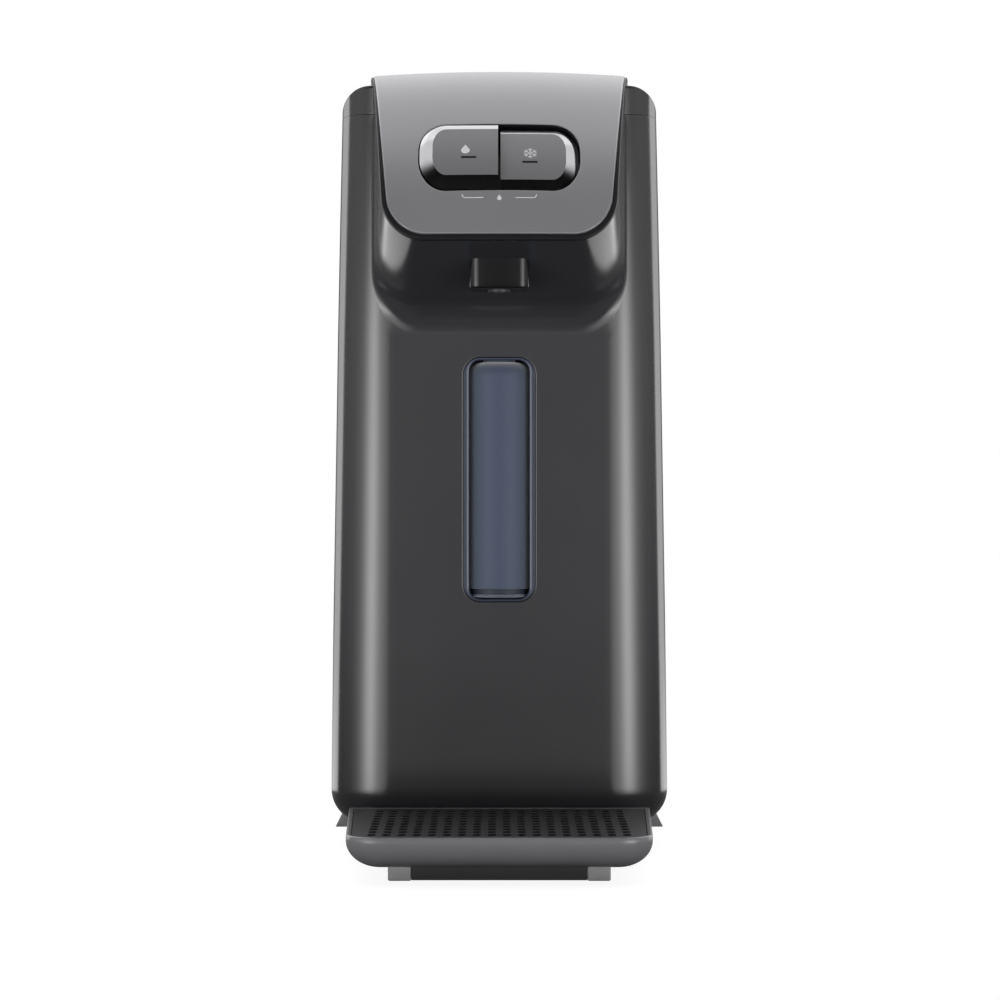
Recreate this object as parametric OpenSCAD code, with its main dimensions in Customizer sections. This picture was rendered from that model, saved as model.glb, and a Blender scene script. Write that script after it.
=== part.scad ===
// Countertop water purifier with cold water. Millimetres, Z up, front towards -Y.
// The origin lies on the table, under the middle of the whole object.

/* [Body] */
// Width of the body at its foot
body_foot_w = 172.3; // [169:0.1:175]
// Width of the body at the seam below the top cover
body_top_w = 160.7; // [158:0.1:164]
// How far the sides of the body swell out half way up
body_swell = 0.6; // [0.4:0.1:0.8]
// Depth of the body from its front face to its rear edge
body_d = 210; // [208:1:216]
// Height of the body's underside above the table
body_lift = 12; // [11.5:0.5:13]
// Height of the shoulders of the top cover
shoulder_h = 386; // [380:0.5:392]
// How far the seam of the top cover lies below the shoulders
seam_drop = 14.5; // [13:0.5:16]
// Width of the flat middle of the front face
face_flat_w = 109; // [104:1:114]
// Depth of the rounded corner between face and side
corner_d = 30; // [26:1:34]
// Rounding under the body
foot_edge_r = 17; // [15:0.5:18]
// Rounding of the body's rear corners
rear_corner_r = 2.2; // [1.6:0.1:2.4]
// Rounding on top of the shoulders
shoulder_r = 9; // [7:0.5:10]
// Rounding along the front and rear edges of the top cover
brow_r = 1.2; // [1:0.1:1.6]
// Thickness of the moulded walls
wall = 2.5; // [2.2:0.1:2.8]
// Gap at seams and between pieces that are put together
seam_gap = 0.3; // [0.25:0.05:0.4]

/* [Head and panel] */
// How far the head stands out from the front face
head_reach = 87.6; // [86:0.2:89]
// How far the head's underside lies below the shoulders where it meets the face
root_drop = 114; // [112:0.5:116]
// How far the head's underside lies below the shoulders at its front lip
lip_drop = 84; // [83:0.5:85.5]
// How far the lip's underside lies below the front edge of the panel
lip_under = 1.66; // [1.4:0.02:2]
// Fillet where the head's sides meet the face
head_fillet_r = 1.2; // [1:0.1:2]
// Fillet where the head's underside meets the face
under_fillet_r = 12; // [10:0.5:14]
// Width of the head's lower corner curve at the face
root_corner_w = 23; // [20:1:26]
// Height of the head's lower corner curve at the face
root_corner_h = 32; // [28:1:36]
// Width of the head's lower corner curve at the lip
lip_corner_w = 20; // [17:1:23]
// Height of the head's lower corner curve at the lip
lip_corner_h = 23; // [20:1:26]
// Radius of the panel's curve, seen from the side
panel_r = 145; // [143:0.5:147]
// Radius of the panel's crown, seen from the front
crown_r = 950; // [900:10:1000]
// Height of the panel's highest point above the shoulders
panel_rise = 11.3; // [10.5:0.1:12.5]
// Width across the trimmed panel at its top
panel_top_w = 135.4; // [132:0.2:138]
// Width across the trimmed panel at its lip
panel_lip_w = 111.2; // [109:0.2:114]
// Thickness of the panel
panel_t = 3; // [2.6:0.1:3.4]
// Width of the dark trim round the panel
trim_w = 2.2; // [1.8:0.1:2.8]
// How far the trim lies below the panel's surface
trim_drop = 0.6; // [0.3:0.1:1]
// How far the hump of the top cover runs back behind the panel
hump_d = 70; // [60:1:80]

/* [Keys] */
// Tilt of the keys, measured from lying flat
key_tilt = 51; // [49:0.5:53]
// Width of the pair of keys
key_pair_w = 78; // [74:1:82]
// Height of the keys along the panel
key_h = 41; // [38:0.5:44]
// Width of the rounding at the outer corners of the keys
key_corner_r = 13; // [10:0.5:15]
// Height of the same rounding along the panel
key_corner_h = 17.5; // [15:0.5:18]
// Width of the sloping border of a key
key_bevel_w = 6; // [5:0.5:7]
// How far a key stands out of the panel
key_proud = 2.6; // [2:0.1:3]
// Depth of the skirt of a key below the panel
key_skirt = 7; // [6.5:0.5:8]
// Wall of a key cap
key_wall = 2.2; // [1.8:0.1:2.6]
// Gap between the two keys
key_split = 1.2; // [0.8:0.1:1.6]
// Gap between the keys and their well
key_gap = 0.5; // [0.4:0.05:0.7]
// How deep a key latches in
latch_depth = 3.3; // [3:0.1:3.6]
// Extra travel that lets a latched key go
over_travel = 1; // [0.8:0.1:1.2]
// Radius of a key stem
stem_r = 3; // [2.6:0.1:3.4]
// Running clearance of a stem in its guide
stem_fit = 0.05; // [0.03:0.01:0.08]
// Length of a stem below the key's skirt
stem_l = 19; // [17:1:20]
// Distance of a stem from the middle
stem_x = 20; // [18:0.5:22]
// Wall of the key well
well_wall = 2; // [1.6:0.1:2.4]
// Thickness of the floor of the key well
well_floor = 2.7; // [2.2:0.1:3.2]
// Wire thickness of a key spring
spring_wire = 0.9; // [0.7:0.1:1]
// Mean radius of a key spring
spring_r = 4.4; // [4.3:0.1:4.7]
// Turns of a key spring
spring_turns = 4; // [3:1:5]
// Width of a key switch
switch_w = 16; // [14:1:18]
// Height of a key switch along the panel
switch_h = 12; // [10:1:13]
// Depth of a key switch
switch_d = 12; // [10:1:13]
// Length of an indicator slit
lens_l = 7.4; // [6:0.2:8]
// Height of an indicator slit
lens_h = 1.3; // [1:0.1:1.6]
// Depth of an indicator lens
lens_d = 1.6; // [1.2:0.1:1.8]
// Distance of an indicator from the middle
lens_x = 14.8; // [14:0.2:16]
// How far an indicator lies below the middle of its key
lens_down = 3; // [2:0.5:4]

/* [Spout] */
// Width of the spout block
spout_w = 29.2; // [27:0.2:31]
// Depth of the spout block
spout_d = 29; // [27:0.5:31]
// How far the front of the spout block lies in front of the face
spout_out = 65; // [63:0.5:67]
// How far the underside of the spout block lies below the shoulders
spout_drop = 106.3; // [105:0.1:108]
// Rounding of the upright edges of the spout block
spout_edge_r = 6; // [4:0.5:8]
// Radius of the neck that carries the spout
spout_neck_r = 9.5; // [9:0.1:10.5]
// How high the spout's neck reaches above its underside
spout_neck_h = 29.5; // [29:0.5:31]
// Outer radius of the nozzle
nozzle_r = 5.6; // [5.2:0.1:6]
// Radius of the water outlet
outlet_r = 4; // [3.6:0.1:4.2]
// How far the nozzle shows below the spout block
nozzle_proud = 1.4; // [1:0.1:2]
// Length of the nozzle inside the block
nozzle_l = 12; // [11:0.5:13]
// Fit of pieces that are pushed into each other
push_fit = 0.05; // [0.03:0.01:0.08]

/* [Filter] */
// Radius of the filter cartridge
filter_r = 16; // [15:0.1:16.5]
// How far the cartridge's shoulder lies below the head's underside
filter_drop = 25.5; // [24:0.1:27]
// Length of the cartridge up to its shoulder
filter_l = 118.5; // [116:0.1:120]
// How far the cartridge's axis lies behind the face
filter_sink = 13; // [12.6:0.1:13.8]
// Gap between the cartridge and the sides of its pocket
pocket_gap = 2.4; // [2:0.1:2.8]
// Rounding of the pocket's corners
pocket_corner_r = 9; // [7:0.5:11]
// Wall of the pocket
pocket_wall = 2; // [1.6:0.1:2.4]
// Width of the rim that the pocket shows inside the opening of the face
pocket_rim_w = 1.4; // [1:0.1:1.5]
// How far the pocket's rim lies behind the face
pocket_rim_sink = 0.8; // [0.6:0.1:1]
// Rounding of the cartridge's shoulder
filter_shoulder_r = 7; // [6:0.5:7.5]
// Radius of the cartridge's neck
neck_r = 8; // [7.5:0.1:8.2]
// Length of the cartridge's neck
neck_l = 17; // [15:0.5:19]
// Radius reached by the lugs that lock the neck
lug_r = 9.2; // [9:0.1:9.4]
// Width of a lug
lug_w = 4; // [3:0.5:5]
// Height of a lug
lug_h = 2; // [1.6:0.1:2.4]
// Height of the dark ring on the cartridge
ring_h = 3; // [2.6:0.1:3.4]
// Depth of the dark ring's seat in the cartridge
ring_t = 1.2; // [1:0.1:1.6]
// Height of the ring above the cartridge's foot
ring_up = 1.2; // [1.1:0.1:1.6]

/* [Drip tray] */
// How far the drip tray stands out from the front face
tray_reach = 140; // [137:1:143]
// Height of the tray's underside above the table
tray_foot_h = 7; // [6.8:0.1:7.6]
// Height of the drip tray
tray_h = 15.2; // [14.8:0.1:15.8]
// Width of the tray at its front
tray_front_w = 143; // [139:1:147]
// Width of the tray at the face
tray_back_w = 151; // [148:1:153]
// Rounding of the tray's front corners, seen from above
tray_corner_r = 16; // [14:1:18]
// Width of the rounding under the tray
tray_edge_w = 16; // [14:0.5:17]
// Height of the rounding under the tray
tray_edge_h = 12.5; // [11.5:0.5:13]
// Thickness of the tray's floor
tray_floor = 2.2; // [1.8:0.1:2.4]
// Width of the tray's rim
tray_rim_w = 2.4; // [2:0.1:3]
// Width of the ledge that carries the grille
tray_ledge_w = 2.6; // [2.2:0.1:3]
// Thickness of the drip grille
grille_t = 2.4; // [2:0.1:2.8]
// Width of a grille slot
slot_w = 4; // [3:0.2:4.6]
// Length of a grille slot
slot_l = 9; // [7:0.5:9.6]
// Spacing of the slots across the tray
slot_pitch_x = 7; // [6.6:0.1:8]
// Spacing of the slots along the tray
slot_pitch_y = 12; // [11:0.5:14]
// Plain border of the grille
grille_border = 5; // [4:0.5:8]

/* [Base and feet] */
// Thickness of the base plate
base_t = 3; // [2.6:0.1:3.4]
// How far the base plate lies inside the body's outline
base_inset = 15; // [14:0.5:17]
// Width of the rim that the body's floor leaves round its opening
floor_rim = 9; // [8:0.5:10]
// Width of the tongue under the tray
tongue_w = 82; // [78:1:90]
// How far the tongue ends behind the tray's front
tongue_back = 19; // [17:1:22]
// Height of the tongue's underside above the table
tongue_lift = 0.4; // [0.3:0.1:0.8]
// Gap between the tongue and the tray above it
tongue_gap = 0.3; // [0.3:0.05:0.5]
// Width of a front foot
front_foot_w = 11; // [9:0.5:13]
// Depth of a front foot
front_foot_d = 36; // [30:1:42]
// How far a rear foot reaches to the side at the table
rear_foot_x = 88.4; // [87:0.2:90]
// Width of a rear foot at the table
rear_foot_w = 28; // [26:1:30]
// How far a rear foot leans out
rear_foot_lean = 4.6; // [4:0.2:5.2]
// Depth of a rear foot
rear_foot_d = 40; // [34:1:46]
// How far the front of a rear foot lies behind the face
rear_foot_back = 117; // [112:1:122]

/* [Rear cover] */
// Thickness of the rear cover
rear_t = 3; // [2.6:0.1:3.2]
// How far the rear fittings stand out behind the body
fitting_proud = 6; // [5:0.5:8]
// Radius of the fan grille
vent_r = 43; // [40:0.5:44]
// Width of the slots in the rear cover
vent_w = 3.4; // [3:0.2:4]
// Spacing of the slots in the rear cover
vent_pitch = 6.6; // [6:0.1:7.4]
// Length of the lower vents
low_vent_l = 26; // [22:1:30]
// Height of the middle of the lower vents
low_vent_h = 36; // [34:1:40]
// Number of lower vents
low_vent_n = 9; // [5:2:11]
// Radius of the body bosses for the cover's screws
boss_r = 4.2; // [3.8:0.1:4.6]
// Depth of the body bosses
boss_d = 30; // [24:1:36]
// Distance of the upper and lower cover screws from the cover's ends
boss_inset = 18; // [17:1:20]
// Radius of a screw
screw_r = 1.5; // [1.3:0.1:1.7]
// Radius of a screw head
screw_head_r = 3; // [2.8:0.1:3.2]
// Height of a screw head
screw_head_h = 1.8; // [1.6:0.1:2.2]
// Clearance of a screw in its hole
screw_fit = 0.1; // [0.05:0.01:0.15]
// Length of a screw
screw_l = 14; // [12:1:16]
// Length of a base screw
base_screw_l = 8; // [7:0.5:10]

/* [Cooling] */
// Width of the cold tank
tank_w = 76; // [72:1:78]
// Height of the cold tank
tank_h = 150; // [146:1:152]
// How far the tank's lid lies below the shoulders
tank_drop = 86; // [84:1:88]
// Gap between the filter head and the insulation
tank_clear = 7.1; // [5:0.1:9]
// Wall of the cold tank
tank_wall = 1.2; // [1:0.1:1.5]
// Thickness of the insulation
insulation_t = 12; // [11:0.5:13]
// Thickness of the shelf's sheet metal
shelf_t = 2; // [1.6:0.1:2.4]
// Depth of the shelf's legs
leg_d = 50; // [44:1:56]
// Width of the cold plate and the thermoelectric module
module_w = 40; // [38:1:42]
// Thickness of the thermoelectric module
module_t = 3.8; // [3.4:0.1:4.2]
// Height of the middle of the cooling group above the tank's floor
cooler_up = 75; // [73:1:77]
// Width of the heat sink and the fan
fan_w = 92; // [90:1:94]
// Depth of the fan
fan_d = 25; // [24:0.5:25.5]
// Depth of the heat sink
sink_d = 26; // [25:0.5:27]
// Thickness of the heat sink's base
sink_base = 6; // [5:0.5:7]
// Number of fins
fin_n = 13; // [11:2:15]
// Thickness of a fin
fin_t = 1.6; // [1.2:0.1:2]
// Spacing of the fins
fin_pitch = 5.4; // [5:0.1:5.6]
// Radius of the fan's opening
fan_bore_r = 43.4; // [42.5:0.1:43.8]
// Radius of the rotor's hub
hub_r = 19; // [17:0.5:20]
// Gap between blade tips and the fan's opening
tip_gap = 1.2; // [1:0.1:1.6]
// Number of blades
blade_n = 7; // [5:1:9]
// Thickness of a blade
blade_t = 1.6; // [1.4:0.1:1.8]
// Pitch of a blade
blade_pitch = 38; // [34:1:42]
// Width of a blade
blade_w = 20; // [18:0.5:21]
// Thickness of the fan's rear spider
spider_t = 4; // [3.5:0.5:4.5]
// Width of an arm of the spider
spider_w = 5; // [4:0.5:6]
// Radius of the rotor's shaft
shaft_r = 2; // [1.8:0.1:2.4]
// Running clearance of the shaft
shaft_fit = 0.05; // [0.03:0.01:0.08]
// Distance of the fan's screws from its middle
fan_screw_x = 41; // [40.5:0.1:41.3]

/* [Water path and electrics] */
// Radius of the hoses
hose_r = 3.2; // [2.8:0.1:3.4]
// Gap at the end of a hose
hose_gap = 0.2; // [0.1:0.05:0.3]
// Width of the filter head
manifold_w = 68; // [66:1:70]
// Depth of the filter head
manifold_d = 42; // [41:0.5:43]
// Height of the filter head
manifold_h = 22; // [21:0.5:23]
// Length of the stubs that hoses push onto
stub_l = 6; // [5:0.5:7]
// Width of a valve
valve_w = 26; // [24:1:27]
// Height of a valve's body
valve_h = 15; // [14:0.5:16]
// Distance of the valves from the middle
valve_x = 17; // [15.5:0.5:18]
// Radius of a valve's coil
coil_r = 11; // [10:0.5:12]
// Height of a valve's coil
coil_h = 28; // [26:1:30]
// Distance of the tank's ports from the middle
port_x = 20; // [18:1:22]
// Distance of the inlet fitting from the body's side
inlet_in = 45.5; // [42:0.5:48]
// Height of the inlet fitting
inlet_h = 95; // [92:1:98]
// Radius of the inlet fitting's body
inlet_r = 9; // [8.5:0.1:9.5]
// Radius of the bore for a quarter-inch tube
tube_bore_r = 3.25; // [3.2:0.01:3.3]
// Depth of the bore for the tube
tube_bore_l = 15; // [14:0.5:16]
// Radius of the seating flanges of the rear fittings
flange_r = 12; // [11.5:0.1:12.5]
// Thickness of the seating flanges
flange_t = 2.5; // [2:0.1:3]
// Distance of the cable gland from the body's side
gland_in = 35.5; // [33:0.5:38]
// Height of the cable gland
gland_h = 80; // [78:1:84]
// Radius of the cable gland
gland_r = 6.5; // [6:0.1:7]
// Radius of the hole for a cable
cable_r = 3.6; // [3.4:0.1:3.8]
// Width of the power supply
supply_w = 84; // [80:1:88]
// Depth of the power supply
supply_d = 66; // [60:1:70]
// Height of the power supply
supply_h = 48; // [44:1:52]
// Width of the control board
board_w = 80; // [76:1:84]
// Depth of the control board
board_d = 52; // [48:1:54]
// Thickness of the control board
board_t = 1.6; // [1.4:0.1:1.8]
// Height of the posts under the control board
post_h = 8; // [7:0.5:9]
// Radius of the posts under the control board
post_r = 3; // [2.6:0.1:3.4]

/* [Hidden] */
$fn = 64;
e = 1;
fine = 180;
corner_n = 8;
head_n = 6;
fillet_n = 6;
swell_n = 5;
shoulder_n = 6;
overall_d = tray_reach + body_d + fitting_proud;
front_y = -overall_d / 2;
face_y = front_y + tray_reach;
back_y = face_y + body_d;
seam_h = shoulder_h - seam_drop;
head_root_h = shoulder_h - root_drop;
head_lip_h = shoulder_h - lip_drop;
panel_top_h = shoulder_h + panel_rise;
panel_fall_h = panel_top_h - head_lip_h - lip_under;
lip_y = face_y - head_reach;
axis_y = lip_y + sqrt(2 * panel_r * panel_fall_h - panel_fall_h * panel_fall_h);
axis_z = panel_top_h - panel_r;
crown_z = panel_top_h - crown_r;
under_panel_r = panel_r - panel_t;
key_y = axis_y - panel_r * sin(key_tilt);
key_z = axis_z + panel_r * cos(key_tilt);
key_bend_r = (crown_r - panel_r + panel_r * cos(key_tilt)) / cos(key_tilt);
well_depth = key_skirt + latch_depth + over_travel + e;
spout_y = face_y - spout_out + spout_d / 2;
spout_foot_h = shoulder_h - spout_drop;
spout_top_h = spout_foot_h + spout_neck_h;
filter_y = face_y + filter_sink;
filter_top_h = head_root_h - filter_drop;
filter_foot_h = filter_top_h - filter_l;
pocket_w = 2 * (filter_r + pocket_gap);
pocket_foot_h = filter_foot_h - pocket_gap;
pocket_top_h = filter_top_h + pocket_gap;
pocket_d = filter_sink + filter_r + pocket_gap;
manifold_h0 = pocket_top_h + pocket_wall;
manifold_h1 = manifold_h0 + manifold_h;
manifold_y0 = face_y + wall + seam_gap;
tray_top_h = tray_foot_h + tray_h;
ledge_h = tray_top_h - grille_t - seam_gap;
base_h0 = body_lift - base_t;
rear_in_y = back_y - rear_t;
fan_y1 = rear_in_y - seam_gap;
fan_y0 = fan_y1 - fan_d;
sink_y0 = fan_y0 - sink_d;
module_y0 = sink_y0 - module_t;
tank_y1 = module_y0 - insulation_t;
tank_y0 = manifold_y0 + manifold_d + tank_clear + insulation_t;
tank_y = (tank_y0 + tank_y1) / 2;
tank_lift = shoulder_h - tank_drop - tank_h;
cooler_h = tank_lift + cooler_up;
shelf_h = tank_lift - insulation_t;
shelf_w = tank_w + 2 * insulation_t + 4 * shelf_t;
valve_y = manifold_y0 + manifold_d / 2;
port_h = tank_lift + tank_h + insulation_t + stub_l;
inlet_x = inlet_in - body_foot_w / 2;
gland_x = body_foot_w / 2 - gland_in;
black = [0.04, 0.04, 0.045];
charcoal = [0.13, 0.13, 0.135];
silver = [0.45, 0.45, 0.47];
steel = [0.62, 0.62, 0.64];
milky = [0.8, 0.8, 0.78];

// Straight change of a size from one place to another
function between(a, b, t) = a + (b - a) * t;

function joined(lists) = [for (l = lists) for (p = l) p];

function turned(list) = [for (i = [len(list) - 1:-1:0]) list[i]];

// Quarter of an ellipse in a plane
function arc(cx, cy, rx, ry, a0, a1, n) =
  [for (i = [0:n]) let (a = between(a0, a1, i / n)) [cx + rx * cos(a), cy + ry * sin(a)]];

// Outline seen from above: rounded in front by an ellipse, at the rear by a circle
function outline(hw, front, back, rx, ry, rb) = concat(
  arc(rx - hw, front + ry, rx, ry, 180, 270, corner_n),
  arc(hw - rx, front + ry, rx, ry, 270, 360, corner_n),
  arc(hw - rb, back - rb, rb, rb, 0, 90, 3),
  arc(rb - hw, back - rb, rb, rb, 90, 180, 3));

function at_height(points, z) = [for (p = points) [p.x, p.y, z]];

// Half the width of the body, which narrows upwards and swells a little half way
function body_half(z) =
  let (t = (z - body_lift) / (seam_h - body_lift))
  between(body_foot_w, body_top_w, t) / 2 + 4 * body_swell * t * (1 - t);

function body_outline(z, inset, back) =
  let (hw = body_half(z) - inset)
  outline(hw, face_y + inset, back, hw - face_flat_w / 2, corner_d - inset, rear_corner_r);

// Closed skin through a row of rings with equal numbers of points
module skin(rings) {
  n = len(rings[0]);
  m = len(rings);
  sides = [for (k = [0:m - 2]) for (i = [0:n - 1])
    let (a = k * n + i, b = k * n + (i + 1) % n)
    each [[a, b + n, b], [a, a + n, b + n]]];
  foot = [for (i = [0:n - 1]) i];
  top = [for (i = [n - 1:-1:0]) (m - 1) * n + i];
  polyhedron(joined(rings), concat([foot], sides, [top]));
}

// The body's outer form, or the same form further in
module body_form(inset, top, back) {
  r = foot_edge_r - inset;
  low = [for (k = [0:5])
    let (t = k * 18, i = inset + r * (1 - sin(t)), z = body_lift + inset + r * (1 - cos(t)))
    at_height(body_outline(z, i, back), z)];
  high = [for (k = [1:swell_n]) let (z = between(body_lift + foot_edge_r, top, k / swell_n))
    at_height(body_outline(z, inset, back), z)];
  skin(concat(low, high));
}

// Outline of the top cover where its sides have come in by cut and its front and rear edges by brow
function lid_outline(z, inset, cut, brow, back) =
  let (hw = body_half(z) - inset, rx = hw - face_flat_w / 2, ry = corner_d - inset - brow,
    front = face_y + inset + brow + ry, a = acos(1 - cut / rx), rb = rear_corner_r, rear = back - brow - rb)
  concat(arc(rx - hw, front, rx, ry, 180 + a, 270, corner_n), arc(hw - rx, front, rx, ry, 270, 360 - a, corner_n),
    arc(hw - cut - rb, rear, rb, rb, 0, 90, 3), arc(rb + cut - hw, rear, rb, rb, 90, 180, 3));

// The top cover's outer form, or the same form further in: rounded along its sides, upright in front
module shoulder_form(inset, foot, back) {
  r = shoulder_r - inset;
  z0 = shoulder_h - shoulder_r;
  round = [for (k = [0:shoulder_n])
    let (t = 90 * k / shoulder_n, up = max(r * sin(t) - r + brow_r, 0),
      brow = brow_r - sqrt(pow(brow_r, 2) - pow(up, 2)))
    at_height(lid_outline(z0, inset, r * (1 - cos(t)), brow, back - inset), z0 + r * sin(t))];
  skin(concat([at_height(body_outline(foot, inset, back - inset), foot)], round));
}

// Everything within a radius of the panel's axis; the axis itself bends with the crown
module crowned(r) {
  half_turn = 8;
  translate([0, axis_y, crown_z])
    rotate([-90, 0, 0]) rotate([0, 0, -90 - half_turn])
      rotate_extrude(angle = 2 * half_turn, $fn = 2 * fine)
        translate([crown_r - panel_r, 0]) circle(r, $fn = fine);
}

// The panel narrows evenly along its own curve, from its top to its lip
function panel_half(y) =
  between(panel_top_w, panel_lip_w, asin((axis_y - y) / panel_r) / asin((axis_y - lip_y) / panel_r)) / 2;

// How far the fillet at the face widens the head
function flare(y, r) =
  let (s = min(max(face_y - y, 0), r))
  r == 0 ? 0 : r - sqrt(r * r - (r - s) * (r - s));

// Cross-section of the head at one distance from the face
function head_section(y, inset, r) =
  let (t = max(min((face_y - y) / head_reach, 1), 0),
    w = panel_half(y) + flare(y, r) - inset,
    z = between(head_root_h, head_lip_h, t) - flare(y, r == 0 ? 0 : under_fillet_r) + inset,
    cw = between(root_corner_w, lip_corner_w, t) - inset,
    ch = between(root_corner_h, lip_corner_h, t) - inset,
    top = panel_top_h + 10 * e)
  [for (p = concat([[w, top]],
      turned(arc(w - cw, z + ch, cw, ch, 270, 360, corner_n)),
      turned(arc(cw - w, z + ch, cw, ch, 180, 270, corner_n)),
      [[-w, top]]))
    [p.x, y, p.y]];

module head_form(inset, r, back, front = 0) {
  steps = r == 0 ? [] : [for (k = [0:fillet_n]) under_fillet_r * pow(1 - k / fillet_n, 2)];
  end = r == 0 ? back : face_y - under_fillet_r;
  run = [for (k = [1:head_n - 1]) between(lip_y, end, k / head_n)];
  rows = concat([lip_y + front], run, [for (s = steps) face_y - s], [back]);
  skin([for (y = rows) head_section(y, inset, r)]);
}

// Wedge seen from above that the head keeps free in the top cover
module hook_plan(grow, front, back) {
  side = [for (k = [0:head_n]) let (y = between(front, back, k / head_n)) [panel_half(y) + grow, y]];
  polygon(concat(side, [for (p = turned(side)) [-p.x, p.y]]));
}

module rounded(w, h, r) {
  for (x = [-1, 1]) for (y = [-1, 1]) translate([x * (w / 2 - r), y * (h / 2 - r)]) circle(r);
  square([w, h - 2 * r], center = true);
  square([w - 2 * r, h], center = true);
}

// A round bar along Y
module bar_y(x, z, r, y0, y1) {
  translate([x, y0, z]) rotate([-90, 0, 0]) cylinder(r = r, h = y1 - y0);
}

// A round bar along X
module bar_x(y, z, r, x0, x1) {
  translate([x0, y, z]) rotate([0, 90, 0]) cylinder(r = r, h = x1 - x0);
}

module box(x0, x1, y0, y1, z0, z1) {
  translate([x0, y0, z0]) cube([x1 - x0, y1 - y0, z1 - z0]);
}

// Places a child in the keys' own frame: X across, Y up the panel, Z out of it
module on_panel() {
  translate([0, key_y, key_z]) rotate([key_tilt, 0, 0]) children();
}

function rear_boss(side, up) = let (z = up > 0 ? seam_h - boss_inset : body_lift + foot_edge_r + boss_inset)
  [side * (body_half(z) - wall - boss_r + e), z];

module at_rear_screws() {
  for (s = [-1, 1]) for (u = [-1, 1]) let (p = rear_boss(s, u)) translate([p.x, 0, p.y]) children();
}

module at_base_screws() {
  for (s = [-1, 1]) for (y = [face_y + corner_d, back_y - corner_d])
    translate([s * (body_foot_w / 2 - base_inset - floor_rim / 2), y, 0]) children();
}

module main_housing() {
  pass_w = 2 * face_flat_w / 3;
  color(charcoal) difference() {
    union() {
      difference() {
        body_form(0, seam_h, back_y);
        body_form(wall, seam_h + e, back_y + 2 * rear_corner_r);
      }
      at_rear_screws() bar_y(0, 0, boss_r, rear_in_y - seam_gap - boss_d, rear_in_y - seam_gap);
    }
    at_rear_screws() bar_y(0, 0, screw_r + screw_fit, rear_in_y - boss_d, back_y);
    at_base_screws() cylinder(r = screw_r + screw_fit, h = 2 * body_lift);
    opening = body_foot_w / 2 - base_inset - floor_rim;
    box(-opening, opening, face_y + 2 * base_inset, back_y - base_inset - floor_rim, 0, body_lift + wall + e);
    translate([0, face_y + wall + e, (pocket_foot_h + pocket_top_h) / 2]) rotate([90, 0, 0])
      linear_extrude(wall + 2 * e) rounded(pocket_w, pocket_top_h - pocket_foot_h, pocket_corner_r);
    box(-pass_w / 2, pass_w / 2, face_y - e, face_y + wall + e, manifold_h1 + e, seam_h - 6 * wall);
  }
}

module top_cover() {
  back = axis_y + hump_d;
  color(charcoal) difference() {
    union() {
      shoulder_form(0, seam_h + seam_gap, back_y);
      intersection() {
        crowned(panel_r - trim_drop);
        translate([0, 0, shoulder_h - shoulder_r]) linear_extrude(shoulder_r + panel_top_h - shoulder_h + e)
          polygon([[-panel_top_w / 2, axis_y], [panel_top_w / 2, axis_y],
            [panel_top_w / 2, back], [-panel_top_w / 2, back]]);
      }
      difference() {
        skin([at_height(body_outline(seam_h, wall + seam_gap, back_y - wall), seam_h - 2 * wall),
          at_height(body_outline(seam_h, wall + seam_gap, back_y - wall), seam_h + 2 * wall)]);
        skin([at_height(body_outline(seam_h, 2 * wall, back_y - 2 * wall), seam_h - 3 * wall),
          at_height(body_outline(seam_h, 2 * wall, back_y - 2 * wall), seam_h + 3 * wall)]);
      }
    }
    difference() {
      shoulder_form(2 * wall, seam_h, back_y);
      box(-body_top_w, body_top_w, front_y, back_y, shoulder_h - wall, panel_top_h);
    }
    translate([0, 0, seam_h - 3 * wall]) linear_extrude(panel_top_h - seam_h + 4 * wall)
      hook_plan(seam_gap, face_y - e, axis_y + seam_gap);
  }
}

module head_cowl() {
  inner_r = under_panel_r - seam_gap;
  color(black) difference() {
    intersection() {
      union() {
        difference() {
          head_form(0, head_fillet_r, face_y + wall + e);
          body_form(-seam_gap, seam_h + seam_gap, back_y);
          box(-body_top_w, body_top_w, face_y - seam_gap, axis_y, seam_h - e, 2 * panel_top_h);
        }
        translate([0, 0, seam_h + seam_gap]) linear_extrude(panel_top_h - seam_h)
          hook_plan(0, face_y - e, axis_y);
      }
      crowned(inner_r);
    }
    intersection() {
      head_form(wall, head_fillet_r, face_y + wall);
      crowned(inner_r - wall);
      box(-body_top_w, body_top_w, lip_y, face_y + wall, head_root_h - wall, seam_h + panel_t);
    }
    intersection() {
      translate([0, 0, seam_h + seam_gap + wall]) linear_extrude(panel_top_h - seam_h)
        hook_plan(-wall, face_y - 2 * wall, axis_y - wall);
      crowned(inner_r - wall);
    }
    on_panel() translate([0, 0, -well_depth - well_floor - e]) linear_extrude(2 * well_depth)
      keys_plan(key_gap + well_wall + seam_gap);
    translate([0, spout_y, spout_foot_h]) cylinder(r = spout_neck_r + push_fit, h = spout_neck_h);
  }
}

module panel_trim() {
  color(black) difference() {
    intersection() {
      head_form(0, 0, axis_y);
      crowned(panel_r - trim_drop);
    }
    crowned(under_panel_r);
    head_form(trim_w, 0, axis_y + e, -e);
  }
}

// Outline round both keys, grown by a margin
module keys_plan(grow) {
  w = key_pair_w / 2 + grow;
  h = key_h / 2 + grow;
  rx = key_corner_r + grow;
  ry = key_corner_h + grow;
  polygon(concat(arc(w - rx, ry - h, rx, ry, 270, 360, corner_n), arc(w - rx, h - ry, rx, ry, 0, 90, corner_n),
    arc(rx - w, h - ry, rx, ry, 90, 180, corner_n), arc(rx - w, ry - h, rx, ry, 180, 270, corner_n)));
}

module control_panel() {
  color(silver) difference() {
    intersection() {
      head_form(trim_w + seam_gap / 2, 0, axis_y, seam_gap);
      crowned(panel_r);
    }
    crowned(under_panel_r);
    on_panel() translate([0, 0, -well_depth]) linear_extrude(2 * well_depth)
      keys_plan(key_gap);
  }
}

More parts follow.
